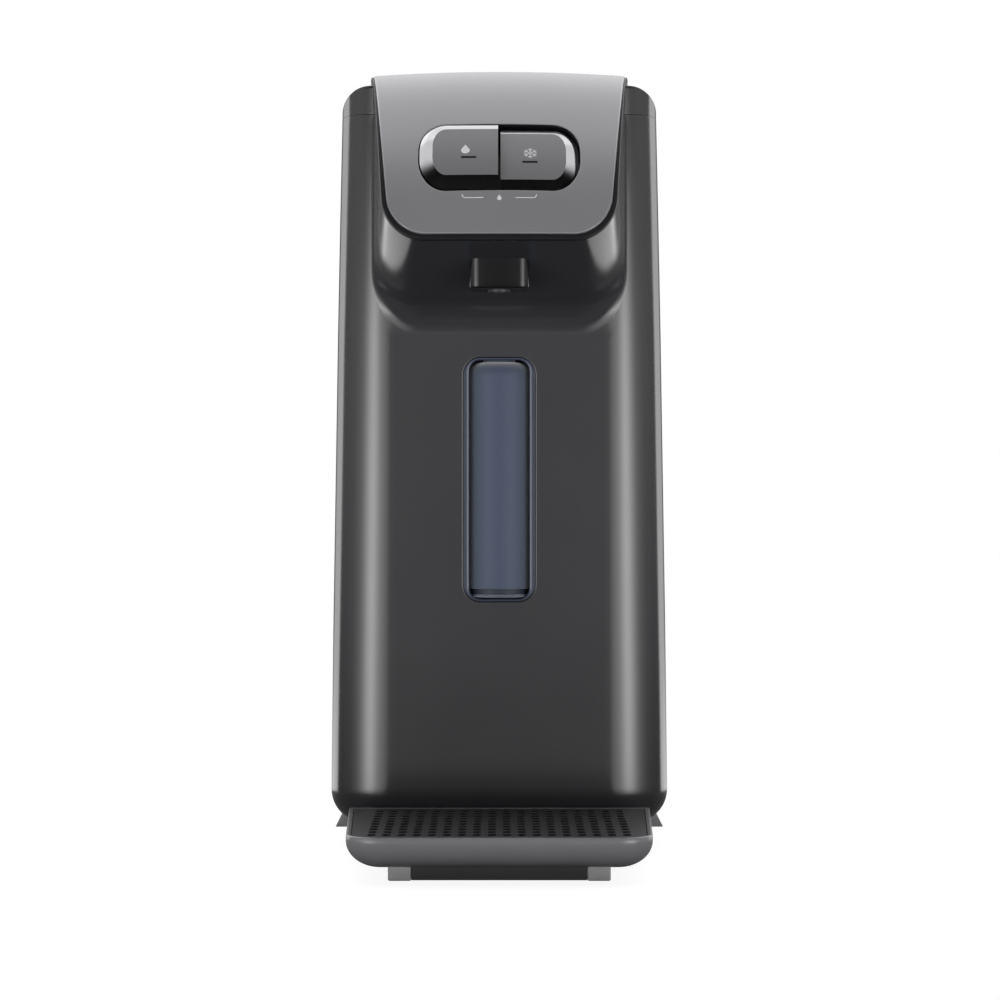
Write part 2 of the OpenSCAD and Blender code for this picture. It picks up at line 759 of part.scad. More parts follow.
module key_well() {
  color(black) difference() {
    intersection() {
      on_panel() translate([0, 0, -well_depth - well_floor]) linear_extrude(2 * well_depth)
        keys_plan(key_gap + well_wall);
      crowned(under_panel_r - seam_gap / 2);
    }
    on_panel() {
      translate([0, 0, -well_depth]) linear_extrude(2 * well_depth)
        keys_plan(key_gap);
      for (s = [-1, 1]) translate([s * stem_x, 0, -2 * well_depth])
        cylinder(r = stem_r + stem_fit, h = 2 * well_depth);
    }
  }
}

// Right key seen from outside; the left one is the same, turned over
function key_plan(inset, split_inset) =
  let (x0 = key_split / 2 + split_inset, x1 = key_pair_w / 2 - inset, y1 = key_h / 2 - inset,
    rx = max(key_corner_r - inset, e), ry = max(key_corner_h - inset, e))
  concat([[x0, -y1]], arc(x1 - rx, ry - y1, rx, ry, 270, 360, corner_n),
    arc(x1 - rx, y1 - ry, rx, ry, 0, 90, corner_n), [[x0, y1]]);

function sided(points, side) = side > 0 ? points : [for (p = turned(points)) [-p.x, p.y]];

// How far the curved panel falls away from the flat plane through the middle of the keys
function panel_fall(p) = p.y * p.y / (2 * panel_r) + p.x * p.x / (2 * key_bend_r);

function key_ring(side, inset, level) =
  [for (p = sided(key_plan(inset, 0), side)) [p.x, p.y, level - panel_fall(p)]];

module key_cap(side, sunk) {
  steps = [0.04, 0.93, 1];
  levels = [0.12, 0.97, 1];
  inner = [1.7, 2.4, 3];
  on_panel() translate([0, 0, -sunk]) difference() {
    union() {
      difference() {
        skin(concat([at_height(sided(key_plan(0, 0), side), -key_skirt), key_ring(side, 0, 0)],
          [for (k = [0:2]) key_ring(side, steps[k] * key_bevel_w, levels[k] * key_proud)],
          [for (k = [0:2]) key_ring(side, inner[k] * key_bevel_w, key_proud)]));
        translate([0, 0, -key_skirt - e]) linear_extrude(key_skirt + e - key_wall)
          polygon(sided(key_plan(key_wall, key_wall), side));
      }
      translate([side * stem_x, 0, -key_skirt - stem_l]) cylinder(r = stem_r, h = stem_l + key_skirt);
    }
    translate([side * lens_x, -lens_down, key_proud]) cube([lens_l, lens_h, 2 * lens_d], center = true);
  }
}

module left_key() { color(black) key_cap(-1, 0); }

module right_key() { color(black) key_cap(1, latch_depth); }

module key_lens(side, sunk) {
  color(black) on_panel() translate([side * lens_x, -lens_down, key_proud - sunk - lens_d / 2])
    cube([lens_l - 2 * push_fit, lens_h - 2 * push_fit, lens_d - 2 * push_fit], center = true);
}

module left_lens() { key_lens(-1, 0); }

module right_lens() { key_lens(1, latch_depth); }

// Sweeps a round section along a path
module sweep(path, r, sides) {
  n = len(path);
  function run(i) = path[min(i + 1, n - 1)] - path[max(i - 1, 0)];
  skin([for (i = [0:n - 1])
    let (t = run(i) / norm(run(i)), u = cross([0.21, 0.97, 0.13], t), a = u / norm(u), b = cross(t, a))
    [for (k = [0:sides - 1]) path[i] + r * (cos(k * 360 / sides) * a + sin(k * 360 / sides) * b)]]);
}

module key_spring(side, sunk) {
  run = well_depth - key_wall - sunk - spring_wire - seam_gap;
  steps = 12 * spring_turns;
  path = [for (i = [0:steps]) [spring_r * cos(i * 30), spring_r * sin(i * 30),
    -well_depth + spring_wire / 2 + seam_gap / 2 + run * i / steps]];
  color(steel) on_panel() translate([side * stem_x, 0, 0]) sweep(path, spring_wire / 2, 6);
}

module left_key_spring() { key_spring(-1, 0); }

module right_key_spring() { key_spring(1, latch_depth); }

module key_switch(side) {
  color(milky) on_panel() translate([side * stem_x, 0, -well_depth - well_floor - switch_d]) difference() {
    translate([-switch_w / 2, -switch_h / 2, 0]) cube([switch_w, switch_h, switch_d]);
    translate([0, 0, -e]) cylinder(r = stem_r + seam_gap, h = switch_d + 2 * e);
  }
}

module left_key_switch() { key_switch(-1); }

module right_key_switch() { key_switch(1); }

module spout_block() {
  color(black) difference() {
    union() {
      difference() {
        translate([0, spout_y, spout_foot_h]) linear_extrude(spout_neck_h)
          rounded(spout_w, spout_d, spout_edge_r);
        head_form(-seam_gap / 2, 0, face_y);
      }
      translate([0, spout_y, spout_foot_h + e]) cylinder(r = spout_neck_r, h = spout_neck_h - e);
      for (s = [-1, 1]) bar_y(s * (spout_neck_r - hose_r - e), spout_top_h - hose_r - e, hose_r,
        spout_y, spout_y + spout_neck_r + stub_l);
    }
    translate([0, spout_y, spout_foot_h - e]) cylinder(r = nozzle_r + push_fit, h = nozzle_l + e);
    translate([0, spout_y, spout_foot_h]) cylinder(r = outlet_r - e, h = spout_neck_h - hose_r);
  }
}

module spout_nozzle() {
  color(black) translate([0, spout_y, spout_foot_h - nozzle_proud]) difference() {
    cylinder(r = nozzle_r, h = nozzle_l + nozzle_proud - push_fit);
    translate([0, 0, -e]) cylinder(r = outlet_r, h = nozzle_l + nozzle_proud + e);
  }
}

module filter_cartridge() {
  r = filter_shoulder_r;
  groove = filter_r - ring_t;
  top = filter_l;
  color([0.09, 0.13, 0.24]) translate([0, filter_y, filter_foot_h]) {
    rotate_extrude($fn = fine) {
      polygon([[0, 0], [filter_r - e, 0], [filter_r, e], [filter_r, ring_up], [groove, ring_up],
        [groove, ring_up + ring_h], [filter_r, ring_up + ring_h], [filter_r, top - r],
        [filter_r - r, top - r], [filter_r - r, top], [neck_r, top], [neck_r, top + neck_l], [0, top + neck_l]]);
      translate([filter_r - r, top - r]) intersection() {
        circle(r);
        square(r);
      }
    }
    translate([0, 0, top + pocket_gap + pocket_wall + 2 * lug_h]) linear_extrude(lug_h) intersection() {
      circle(lug_r);
      square([2 * lug_r + e, lug_w], center = true);
    }
  }
}

module filter_ring() {
  color(black) translate([0, filter_y, filter_foot_h + ring_up + push_fit]) difference() {
    cylinder(r = filter_r, h = ring_h - 2 * push_fit, $fn = fine);
    translate([0, 0, -e]) cylinder(r = filter_r - ring_t + push_fit, h = ring_h + 2 * e, $fn = fine);
  }
}

// A rounded block behind the face, wider or narrower than the filter's opening by a margin on each side
module pocket_block(margin, front, back) {
  h = pocket_top_h - pocket_foot_h;
  translate([0, face_y + back, pocket_foot_h + h / 2]) rotate([90, 0, 0]) linear_extrude(back - front)
    rounded(pocket_w + 2 * margin, h + 2 * margin, pocket_corner_r + margin);
}

module filter_pocket() {
  color([0.06, 0.08, 0.14]) difference() {
    union() {
      pocket_block(pocket_wall, wall, pocket_d + pocket_wall);
      pocket_block(-seam_gap, pocket_rim_sink, wall + e);
    }
    pocket_block(0, wall + pocket_wall, pocket_d);
    pocket_block(-pocket_rim_w, -e, wall + pocket_wall + e);
    translate([0, filter_y, pocket_top_h - e]) cylinder(r = lug_r + seam_gap, h = pocket_wall + 2 * e);
  }
}

module filter_head() {
  y1 = manifold_y0 + manifold_d;
  channel = manifold_h0 + lug_h;
  color(milky) difference() {
    union() {
      box(-manifold_w / 2, manifold_w / 2, manifold_y0, y1, manifold_h0, manifold_h1);
      for (y = [manifold_y0 + manifold_d / 4, y1 - manifold_d / 4])
        bar_x(y, manifold_h0 + manifold_h / 2, hose_r, -manifold_w / 2 - stub_l, 0);
    }
    translate([0, filter_y, manifold_h0 - e]) cylinder(r = neck_r + push_fit, h = neck_l + e - pocket_gap);
    translate([0, filter_y, channel]) cylinder(r = lug_r + seam_gap, h = 3 * lug_h);
  }
}

module filter_seal() {
  color(black) translate([0, filter_y, filter_top_h + neck_l]) difference() {
    cylinder(r = neck_r, h = pocket_wall - seam_gap);
    translate([0, 0, -e]) cylinder(r = neck_r / 2, h = pocket_wall + 2 * e);
  }
}

module drip_form(z0, z1, inset) {
  translate([0, 0, z0]) linear_extrude(z1 - z0) polygon(tray_plan(inset, inset));
}

// Tray seen from above, drawn in from its front and sides, and from its back
function tray_plan(inset, back_inset) =
  let (y0 = front_y + inset, y1 = face_y - seam_gap - back_inset, r = max(tray_corner_r - inset, 2 * e),
    w0 = tray_front_w / 2 - inset, w1 = tray_back_w / 2 - inset)
  concat(arc(r - w0, y0 + r, r, r, 190, 270, corner_n), arc(w0 - r, y0 + r, r, r, 270, 350, corner_n),
    [[w1, y1], [-w1, y1]]);

module drip_tray() {
  color(charcoal) difference() {
    skin(concat([for (k = [0:5])
      let (t = k * 18, i = tray_edge_w * (1 - sin(t)), z = tray_foot_h + tray_edge_h * (1 - cos(t)))
      at_height(tray_plan(i, 0), z)], [at_height(tray_plan(0, 0), tray_top_h)]));
    drip_form(ledge_h, tray_top_h + e, tray_rim_w);
    basin = tray_rim_w + tray_ledge_w;
    mid = (ledge_h + tray_foot_h + tray_floor) / 2;
    drip_form(mid, ledge_h + e, basin);
    drip_form(tray_foot_h + tray_floor, mid + e, tray_edge_w);
  }
}

module slot_plan(l, w) {
  square([w, l - w], center = true);
  for (s = [-1, 1]) translate([0, s * (l - w) / 2]) circle(w / 2, $fn = 16);
}

module drip_grille() {
  inset = tray_rim_w + seam_gap;
  room_x = tray_front_w - 2 * (inset + grille_border);
  room_y = tray_reach - 2 * (inset + grille_border);
  nx = floor((room_x - slot_w) / slot_pitch_x);
  ny = floor((room_y - slot_l) / slot_pitch_y);
  color(black) translate([0, 0, ledge_h]) linear_extrude(grille_t) difference() {
    polygon(tray_plan(inset, inset));
    for (i = [0:nx]) for (j = [0:ny])
      translate([(i - nx / 2) * slot_pitch_x, front_y + tray_reach / 2 + (j - ny / 2) * slot_pitch_y])
        slot_plan(slot_l, slot_w);
  }
}

module base_plate() {
  hw = body_foot_w / 2 - base_inset;
  tongue_h1 = tray_foot_h - tongue_gap;
  root = face_y + base_inset;
  color(black) {
    difference() {
      union() {
        box(-hw, hw, root, back_y - base_inset, base_h0, body_lift);
        box(-tongue_w / 2, tongue_w / 2, front_y + tongue_back, root + base_inset, tongue_lift, tongue_h1);
        box(-tongue_w / 2, tongue_w / 2, root, root + base_inset, tongue_h1 - e, base_h0 + e);
        for (x = [-1, 1]) for (y = [-1, 1])
          translate([x * (board_w / 2 - 2 * post_r), board_y() + y * (board_d / 2 - 2 * post_r), body_lift - e])
            cylinder(r = post_r, h = post_h + e);
      }
      at_base_screws() cylinder(r = screw_r + screw_fit, h = 2 * body_lift);
    }
  }
}

function board_y() = face_y + 3 * base_inset + board_d / 2;

module front_feet() {
  y0 = front_y + tongue_back;
  color(steel) for (s = [-1, 1]) {
    x = s * (tongue_w + front_foot_w) / 2;
    box(x - front_foot_w / 2, x + front_foot_w / 2, y0, y0 + front_foot_d, 0, tray_foot_h - tongue_gap);
  }
}

module rear_feet() {
  y0 = face_y + rear_foot_back;
  x1 = rear_foot_x;
  color(steel) for (s = [-1, 1]) translate([0, y0 + rear_foot_d, 0]) rotate([90, 0, 0])
    linear_extrude(rear_foot_d) polygon([[s * (x1 - rear_foot_w), 0], [s * x1, 0],
      [s * (x1 - rear_foot_lean), base_h0], [s * (x1 - rear_foot_w), base_h0]]);
}

// The rear cover seen from behind
module rear_plan() {
  r = foot_edge_r - wall;
  gap = wall + seam_gap;
  z0 = body_lift + gap;
  z1 = seam_h - 2 * wall - seam_gap;
  w0 = body_half(z0 + r) - gap;
  side = [for (k = [1:swell_n]) let (z = between(z0 + r, z1, k / swell_n)) [body_half(z) - gap, z]];
  polygon(concat(arc(r - w0, z0 + r, r, r, 180, 270, corner_n), arc(w0 - r, z0 + r, r, r, 270, 360, corner_n),
    side, [for (p = turned(side)) [-p.x, p.y]]));
}

module rear_cover() {
  rows = floor(vent_r / vent_pitch);
  color(charcoal) difference() {
    translate([0, back_y, 0]) rotate([90, 0, 0]) linear_extrude(rear_t) difference() {
      rear_plan();
      for (i = [-rows:rows]) translate([0, cooler_h + i * vent_pitch]) rotate([0, 0, 90])
        slot_plan(2 * sqrt(vent_r * vent_r - pow(i * vent_pitch, 2)) - vent_w, vent_w);
      for (i = [0:low_vent_n - 1])
        translate([(i - (low_vent_n - 1) / 2) * vent_pitch, low_vent_h]) slot_plan(low_vent_l, vent_w);
      translate([inlet_x, inlet_h]) circle(inlet_r + seam_gap);
      translate([gland_x, gland_h]) circle(gland_r + seam_gap);
    }
    at_rear_screws() bar_y(0, 0, screw_r + screw_fit, rear_in_y - e, back_y + e);
  }
}

module rear_screws() {
  color(steel) at_rear_screws() {
    bar_y(0, 0, screw_head_r, back_y, back_y + screw_head_h);
    bar_y(0, 0, screw_r, back_y - screw_l, back_y + e);
  }
}

module base_screws() {
  color(steel) at_base_screws() translate([0, 0, base_h0 - screw_head_h]) {
    cylinder(r = screw_head_r, h = screw_head_h);
    cylinder(r = screw_r, h = base_screw_l + screw_head_h);
  }
}

module plain_valve() { color(milky) valve(-1); }

module cold_valve() {
  color(milky) {
    valve(1);
    bar_x(valve_y, manifold_h1 + valve_h / 2, hose_r, valve_x, valve_x + valve_w / 2 + stub_l);
  }
}

module valve(side) {
  translate([side * valve_x, valve_y, manifold_h1]) {
    translate([-valve_w / 2, -valve_w / 2, 0]) cube([valve_w, valve_w, valve_h]);
    translate([0, 0, valve_h - e]) cylinder(r = coil_r, h = coil_h + e);
  }
  bar_y(side * valve_x, manifold_h1 + valve_h - hose_r - e, hose_r,
    valve_y - valve_w / 2 - stub_l / 2, valve_y);
}

module cold_tank() {
  hw = tank_w / 2;
  top = tank_lift + tank_h;
  color(steel) {
    difference() {
      box(-hw, hw, tank_y0, tank_y1, tank_lift, top);
      box(tank_wall - hw, hw - tank_wall, tank_y0 + tank_wall, tank_y1 - tank_wall,
        tank_lift + tank_wall, top - tank_wall);
    }
    for (s = [-1, 1]) translate([s * port_x, tank_y, top - tank_wall]) cylinder(r = hose_r, h = port_h - top);
  }
}

module insulation(side) {
  hw = tank_w / 2 + insulation_t;
  y0 = side < 0 ? tank_y0 - insulation_t : tank_y + seam_gap / 2;
  y1 = side < 0 ? tank_y - seam_gap / 2 : tank_y1 + insulation_t;
  gap = seam_gap / 2;
  color([0.9, 0.9, 0.88]) difference() {
    box(-hw, hw, y0, y1, shelf_h, tank_lift + tank_h + insulation_t);
    box(-tank_w / 2 - gap, tank_w / 2 + gap, tank_y0 - gap, tank_y1 + gap, tank_lift, tank_lift + tank_h + gap);
    for (s = [-1, 1]) translate([s * port_x, tank_y, tank_lift]) cylinder(r = hose_r + seam_gap, h = 2 * tank_h);
    if (side > 0) box(-module_w / 2 - gap, module_w / 2 + gap, tank_y, y1 + e,
      cooler_h - module_w / 2 - gap, cooler_h + module_w / 2 + gap);
  }
}

module insulation_front() { insulation(-1); }

module insulation_rear() { insulation(1); }

module tank_shelf() {
  hw = shelf_w / 2;
  color(steel) {
    box(-hw, hw, tank_y0 - insulation_t, tank_y1 + insulation_t, shelf_h - shelf_t, shelf_h);
    for (x = [-hw, hw - shelf_t]) box(x, x + shelf_t, tank_y - leg_d / 2, tank_y + leg_d / 2, body_lift, shelf_h);
  }
}

module cooler_block(y0, y1) {
  box(-module_w / 2, module_w / 2, y0, y1, cooler_h - module_w / 2, cooler_h + module_w / 2);
}

module cold_plate() { color(steel) cooler_block(tank_y1, module_y0); }

module thermo_module() { color(milky) cooler_block(module_y0, sink_y0); }

module at_fan_screws() {
  for (x = [-1, 1]) for (z = [-1, 1])
    translate([x * fan_screw_x, 0, cooler_h + z * fan_screw_x]) children();
}

module heat_sink() {
  hw = fan_w / 2;
  color(steel) difference() {
    union() {
      box(-hw, hw, sink_y0, sink_y0 + sink_base, cooler_h - hw, cooler_h + hw);
      for (i = [0:fin_n - 1]) let (x = (i - (fin_n - 1) / 2) * fin_pitch)
        box(x - fin_t / 2, x + fin_t / 2, sink_y0 + sink_base - e, fan_y0, cooler_h - hw, cooler_h + hw);
      at_fan_screws() bar_y(0, 0, boss_r, sink_y0, fan_y0);
    }
    at_fan_screws() bar_y(0, 0, screw_r + screw_fit, sink_y0 + sink_base, fan_y0 + e);
  }
}

// The fan's frame seen from behind, with or without its spider
module fan_plan(spider) {
  difference() {
    square(fan_w, center = true);
    difference() {
      circle(fan_bore_r);
      if (spider) circle(hub_r);
      if (spider) for (a = [45, 135]) rotate(a) square([3 * fan_bore_r, spider_w], center = true);
    }
    if (spider) circle(shaft_r + shaft_fit);
    for (x = [-1, 1]) for (y = [-1, 1]) translate([x * fan_screw_x, y * fan_screw_x]) circle(screw_r + screw_fit);
  }
}

module fan_frame() {
  color(black) difference() {
    union() {
      translate([0, fan_y1 - spider_t, cooler_h]) rotate([90, 0, 0]) linear_extrude(fan_d - spider_t) fan_plan(false);
      translate([0, fan_y1, cooler_h]) rotate([90, 0, 0]) linear_extrude(spider_t) fan_plan(true);
    }
    at_fan_screws() bar_y(0, 0, screw_head_r + screw_fit, fan_y1 - screw_head_h, fan_y1 + e);
  }
}

module fan_rotor() {
  y0 = fan_y0 + e;
  y1 = fan_y1 - spider_t - e;
  color(black) {
    bar_y(0, cooler_h, hub_r, y0, y1);
    bar_y(0, cooler_h, shaft_r, y1 - e, fan_y1 - e);
    intersection() {
      for (i = [0:blade_n - 1]) translate([0, (y0 + y1) / 2, cooler_h]) rotate([0, i * 360 / blade_n, 0])
        translate([0, 0, hub_r - e]) rotate([0, 0, blade_pitch])
          translate([-blade_w / 2, -blade_t / 2, 0]) cube([blade_w, blade_t, fan_bore_r]);
      bar_y(0, cooler_h, fan_bore_r - tip_gap, y0, y1);
    }
  }
}

module fan_screws() {
  y1 = fan_y1 - screw_head_h;
  color(steel) at_fan_screws() {
    bar_y(0, 0, screw_head_r, y1, fan_y1);
    bar_y(0, 0, screw_r, sink_y0 + sink_base + e, y1 + e);
  }
}

module power_supply() {
  y1 = back_y - 2 * base_inset;
  color(steel) box(-supply_w / 2, supply_w / 2, y1 - supply_d, y1, body_lift, body_lift + supply_h);
}

module control_board() {
  z = body_lift + post_h;
  chip = board_w / 8;
  color([0.1, 0.3, 0.15]) {
    box(-board_w / 2, board_w / 2, board_y() - board_d / 2, board_y() + board_d / 2, z, z + board_t);
    for (i = [-1:1]) box(i * 2 * chip - chip / 2, i * 2 * chip + chip / 2, board_y() - chip / 2,
      board_y() + chip / 2, z + board_t - e, z + 2 * board_t);
  }
}

module inlet_fitting() {
  y1 = back_y + fitting_proud;
  color(milky) difference() {
    union() {
      bar_y(inlet_x, inlet_h, inlet_r - e, back_y, y1);
      bar_y(inlet_x, inlet_h, flange_r, back_y, back_y + flange_t);
      bar_y(inlet_x, inlet_h, inlet_r, y1 - tube_bore_l - wall, back_y + e);
      bar_y(inlet_x, inlet_h, hose_r, y1 - tube_bore_l - wall - stub_l, back_y);
    }
    bar_y(inlet_x, inlet_h, tube_bore_r, y1 - tube_bore_l, y1 + e);
  }
}

module cable_gland() {
  y1 = back_y + fitting_proud;
  color(black) difference() {
    union() {
      bar_y(gland_x, gland_h, gland_r, rear_in_y - 2 * rear_t, y1);
      bar_y(gland_x, gland_h, gland_r + wall, back_y, back_y + flange_t);
    }
    bar_y(gland_x, gland_h, cable_r, rear_in_y - 3 * rear_t, y1 + e);
  }
}

// Smooth path through a few points, straight at both ends
function eased(p, n) = [for (i = [0:len(p) - 2]) for (k = i == 0 ? [0] : i == len(p) - 2 ? [0, n] : [0:n - 1])
  let (a = p[max(i - 1, 0)], b = p[i], c = p[i + 1], d = p[min(i + 2, len(p) - 1)], t = k / n)
  0.5 * (2 * b + (c - a) * t + (2 * a - 5 * b + 4 * c - d) * t * t + (3 * b - a - 3 * c + d) * t * t * t)];

module hose(points) { color(milky) sweep(eased(points, 4), hose_r, 10); }

// Room beside the insulation where the hoses run
hose_x = shelf_w / 2 + 3 * hose_r;
manifold_z = manifold_h0 + manifold_h / 2;
manifold_port_x = -manifold_w / 2 - stub_l - hose_gap;
in_port_y = manifold_y0 + manifold_d / 4;
out_port_y = manifold_y0 + 3 * manifold_d / 4;
over_h = port_h + 6 * hose_r;

module inlet_hose() {
  y = back_y + fitting_proud - tube_bore_l - wall - stub_l - hose_gap;
  hose([[inlet_x, y, inlet_h], [inlet_x, y - 3 * hose_r, inlet_h], [-hose_x, tank_y1, shelf_h - stub_l],
    [-hose_x, tank_y, shelf_h + insulation_t], [-hose_x, tank_y0 - insulation_t, manifold_h0 - 2 * manifold_h],
    [manifold_port_x - 3 * hose_r, in_port_y, manifold_z],
    [manifold_port_x, in_port_y, manifold_z]]);
}

module feed_hose() {
  hose([[manifold_port_x, out_port_y, manifold_z], [manifold_port_x - 3 * hose_r, out_port_y, manifold_z],
    [-hose_x, tank_y0, port_h], [-port_x - 4 * hose_r, tank_y - 3 * hose_r, over_h],
    [-port_x, tank_y, port_h + 3 * hose_r], [-port_x, tank_y, port_h + hose_gap - tank_wall]]);
}

module cold_hose() {
  x = valve_x + valve_w / 2 + stub_l + hose_gap;
  z = manifold_h1 + valve_h / 2;
  hose([[x, valve_y, z], [x + 3 * hose_r, valve_y, z], [hose_x, tank_y0, port_h],
    [port_x + 4 * hose_r, tank_y - 3 * hose_r, over_h], [port_x, tank_y, port_h + 3 * hose_r],
    [port_x, tank_y, port_h + hose_gap - tank_wall]]);
}

module spout_hose(side) {
  x1 = side * (spout_neck_r - hose_r - e);
  y0 = valve_y - valve_w / 2 - stub_l / 2 - hose_gap;
  y1 = spout_y + spout_neck_r + stub_l + hose_gap;
  z0 = manifold_h1 + valve_h - hose_r - e;
  z1 = spout_top_h - hose_r - e;
  hose([[side * valve_x, y0, z0], [side * valve_x, y0 - 2 * hose_r, z0],
    [(side * valve_x + x1) / 2, (y0 + y1) / 2, (z0 + z1) / 2], [x1, y1 + 2 * hose_r, z1], [x1, y1, z1]]);
}

module plain_spout_hose() { spout_hose(-1); }

module cold_spout_hose() { spout_hose(1); }

main_housing();
top_cover();
head_cowl();
panel_trim();
control_panel();
key_well();
left_key();
right_key();
left_lens();
right_lens();
left_key_spring();
right_key_spring();
left_key_switch();
right_key_switch();
spout_block();
spout_nozzle();
filter_cartridge();
filter_ring();
filter_pocket();
filter_head();
filter_seal();
drip_tray();
drip_grille();
base_plate();
front_feet();
rear_feet();
rear_cover();
rear_screws();
base_screws();
plain_valve();
cold_valve();
cold_tank();
insulation_front();
insulation_rear();
tank_shelf();
cold_plate();
thermo_module();
heat_sink();
fan_frame();
fan_rotor();
fan_screws();
power_supply();
control_board();
inlet_fitting();
cable_gland();
inlet_hose();
feed_hose();
cold_hose();
plain_spout_hose();
cold_spout_hose();
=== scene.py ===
import math

import bmesh
import bpy
from mathutils import Matrix, Vector


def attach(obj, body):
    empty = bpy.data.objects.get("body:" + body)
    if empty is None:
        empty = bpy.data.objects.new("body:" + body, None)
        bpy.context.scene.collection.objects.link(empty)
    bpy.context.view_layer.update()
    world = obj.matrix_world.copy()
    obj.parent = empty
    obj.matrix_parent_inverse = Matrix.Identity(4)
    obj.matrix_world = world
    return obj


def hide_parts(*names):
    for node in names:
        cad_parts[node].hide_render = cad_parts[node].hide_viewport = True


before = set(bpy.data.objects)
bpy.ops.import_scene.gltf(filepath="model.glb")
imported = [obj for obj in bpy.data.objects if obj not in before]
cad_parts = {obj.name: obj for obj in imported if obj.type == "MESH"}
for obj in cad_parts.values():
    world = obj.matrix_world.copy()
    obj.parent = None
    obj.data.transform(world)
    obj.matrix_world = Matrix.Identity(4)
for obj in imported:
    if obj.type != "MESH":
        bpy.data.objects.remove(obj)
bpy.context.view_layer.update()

scene = bpy.context.scene
scene.view_settings.view_transform = "Standard"

# Camera, level with the middle of the filter
eye = bpy.data.cameras.new("eye")
eye.lens, eye.sensor_width = 117.3, 36.0
eye.shift_x, eye.shift_y = 0.0007, -0.02
camera = bpy.data.objects.new("eye", eye)
camera.location = (0, -1.678, 0.187)
camera.rotation_euler = (math.radians(90), 0, 0)
scene.collection.objects.link(camera)
scene.camera = camera

# Sizes in millimetres
MM = 0.001

# Body: face, back and tray front along y, then heights, widths and roundings
FACE, BACK, FRONT = -38.0, 172.0, -178.0
LIFT, SEAM, SHOULDER = 12.0, 371.5, 386.0
FOOT_W, TOP_W, SWELL = 172.3, 160.7, 0.6
FLAT_W, FLAT_GAIN = 109.0, 1.2
CORNER_D, FOOT_R, REAR_R = 30.0, 17.0, 2.2
SHOULDER_W, SHOULDER_R, BROW_R = 15.5, 12.5, 1.2
WALL, SEAM_GAP = 2.2, 0.1
# Rounding on either side of the seam: distance from it and inset, then the lap inside
SEAM_EDGE = [(0.4, 0.0), (0.15, 0.0), (0.04, 0.04), (0.0, 0.15), (0.0, 2.4)]
# Extra points that keep a flat's shading flat beside its edges
BESIDE_FLAT, BESIDE_SIDE, BESIDE_REAR = 2.0, 4.0, 3.0

# Head: the panel's curve along and across, reach, underside, width and corners, then cowl, hump and trim
AXIS_Y, PANEL_R, CROWN_R, PANEL_TOP = 10.0, 145.0, 950.0, 397.27
AXIS_Z, CROWN_Z = PANEL_TOP - PANEL_R, PANEL_TOP - CROWN_R
REACH, ROOT_H, LIP_H = 87.6, 272.0, 302.0
LIP_Y = FACE - REACH
HEAD_TOP_W, HEAD_LIP_W = 133.0, 110.4
ROOT_CORNER, LIP_CORNER = (23.0, 32.0), (20.0, 23.0)
SIDE_FILLET, UNDER_FILLET = 1.2, 12.0
COWL_DROP, COWL_SIDE_FOOT, SETTLE = 3.3, 374.0, 18.0
HUMP_HALF, HUMP_L, HUMP_DROP, HUMP_R = 66.2, 64.0, 0.6, 2.0
TRIM_W, PANEL_IN, PANEL_EDGE_R, PANEL_T = 2.2, 2.35, 1.4, 3.0

# Keys: tilt and middle of the pair, half sizes, corners, border and latch
KEY_TILT = math.radians(51)
KEY_Y, KEY_Z = AXIS_Y - PANEL_R * math.sin(KEY_TILT), AXIS_Z + PANEL_R * math.cos(KEY_TILT)
KEY_BEND = (CROWN_R - PANEL_R + PANEL_R * math.cos(KEY_TILT)) / math.cos(KEY_TILT)
KEY_S = PANEL_R * KEY_TILT
KEY_W, KEY_H, KEY_RX, KEY_RY, KEY_UP, KEY_GAP = 38.6, 21.9, 13.0, 18.6, 1.4, 0.5
KEY_BEVEL, KEY_PROUD, KEY_SPLIT, LATCH = 6.3, 2.6, 0.6, 3.3
MARK_LIFT, BRACKET_S = 0.06, 154.6

# Filter's opening in the face, with the pocket and its rim
POCKET_W, POCKET_H, POCKET_MID, POCKET_R = 36.8, 123.3, 187.25, 9.0
POCKET_D, POCKET_WALL, OPENING_D, ROUND_OPENING = 33.4, 2.0, 2.5, 12.0
RIM_SIDE, RIM_END, RIM_BACK, RIM_R, RIM_STRETCH = 3.3, 1.5, 0.8, 0.9, 1.8
FILTER_Y, FILTER_R, FILTER_FOOT, FILTER_TOP = FACE + 13, 16.0, 128.0, 246.5

# Spout
SPOUT_W, SPOUT_D, SPOUT_R, SPOUT_EDGE = 29.2, 29.0, 4.8, 1.2
SPOUT_FOOT, SPOUT_TOP = 279.7, 298.0
SPOUT_Y = FACE - 65 + SPOUT_D / 2

# Drip tray: half widths at the front and back, corner, lean of the sides in degrees, gap to the face, then heights
TRAY_W0, TRAY_W1, TRAY_R, TRAY_LEAN, TRAY_GAP = 71.5, 75.5, 16.0, 8, 0.3
TRAY_FOOT, TRAY_TOP, TRAY_LEDGE, TRAY_STEP, TRAY_FLOOR = 7.0, 22.2, 19.5, 15.0, 9.2
TRAY_BELLY, TRAY_RIM, TRAY_BASIN = 12.5, 2.4, 5.0


def mix(a, b, t):
    return a + (b - a) * t


def eased(t):
    """Smooth step from 0 to 1."""
    t = min(max(t, 0.0), 1.0)
    return t * t * (3 - 2 * t)


def quarter(n):
    """Angles of a quarter turn in n steps."""
    return [math.radians(90 * k / n) for k in range(n + 1)]


def arc(cx, cy, rx, ry, a0, a1, n):
    """Points along part of an ellipse, angles in degrees."""
    turns = [math.radians(mix(a0, a1, i / n)) for i in range(n + 1)]
    return [(cx + rx * math.cos(a), cy + ry * math.sin(a)) for a in turns]


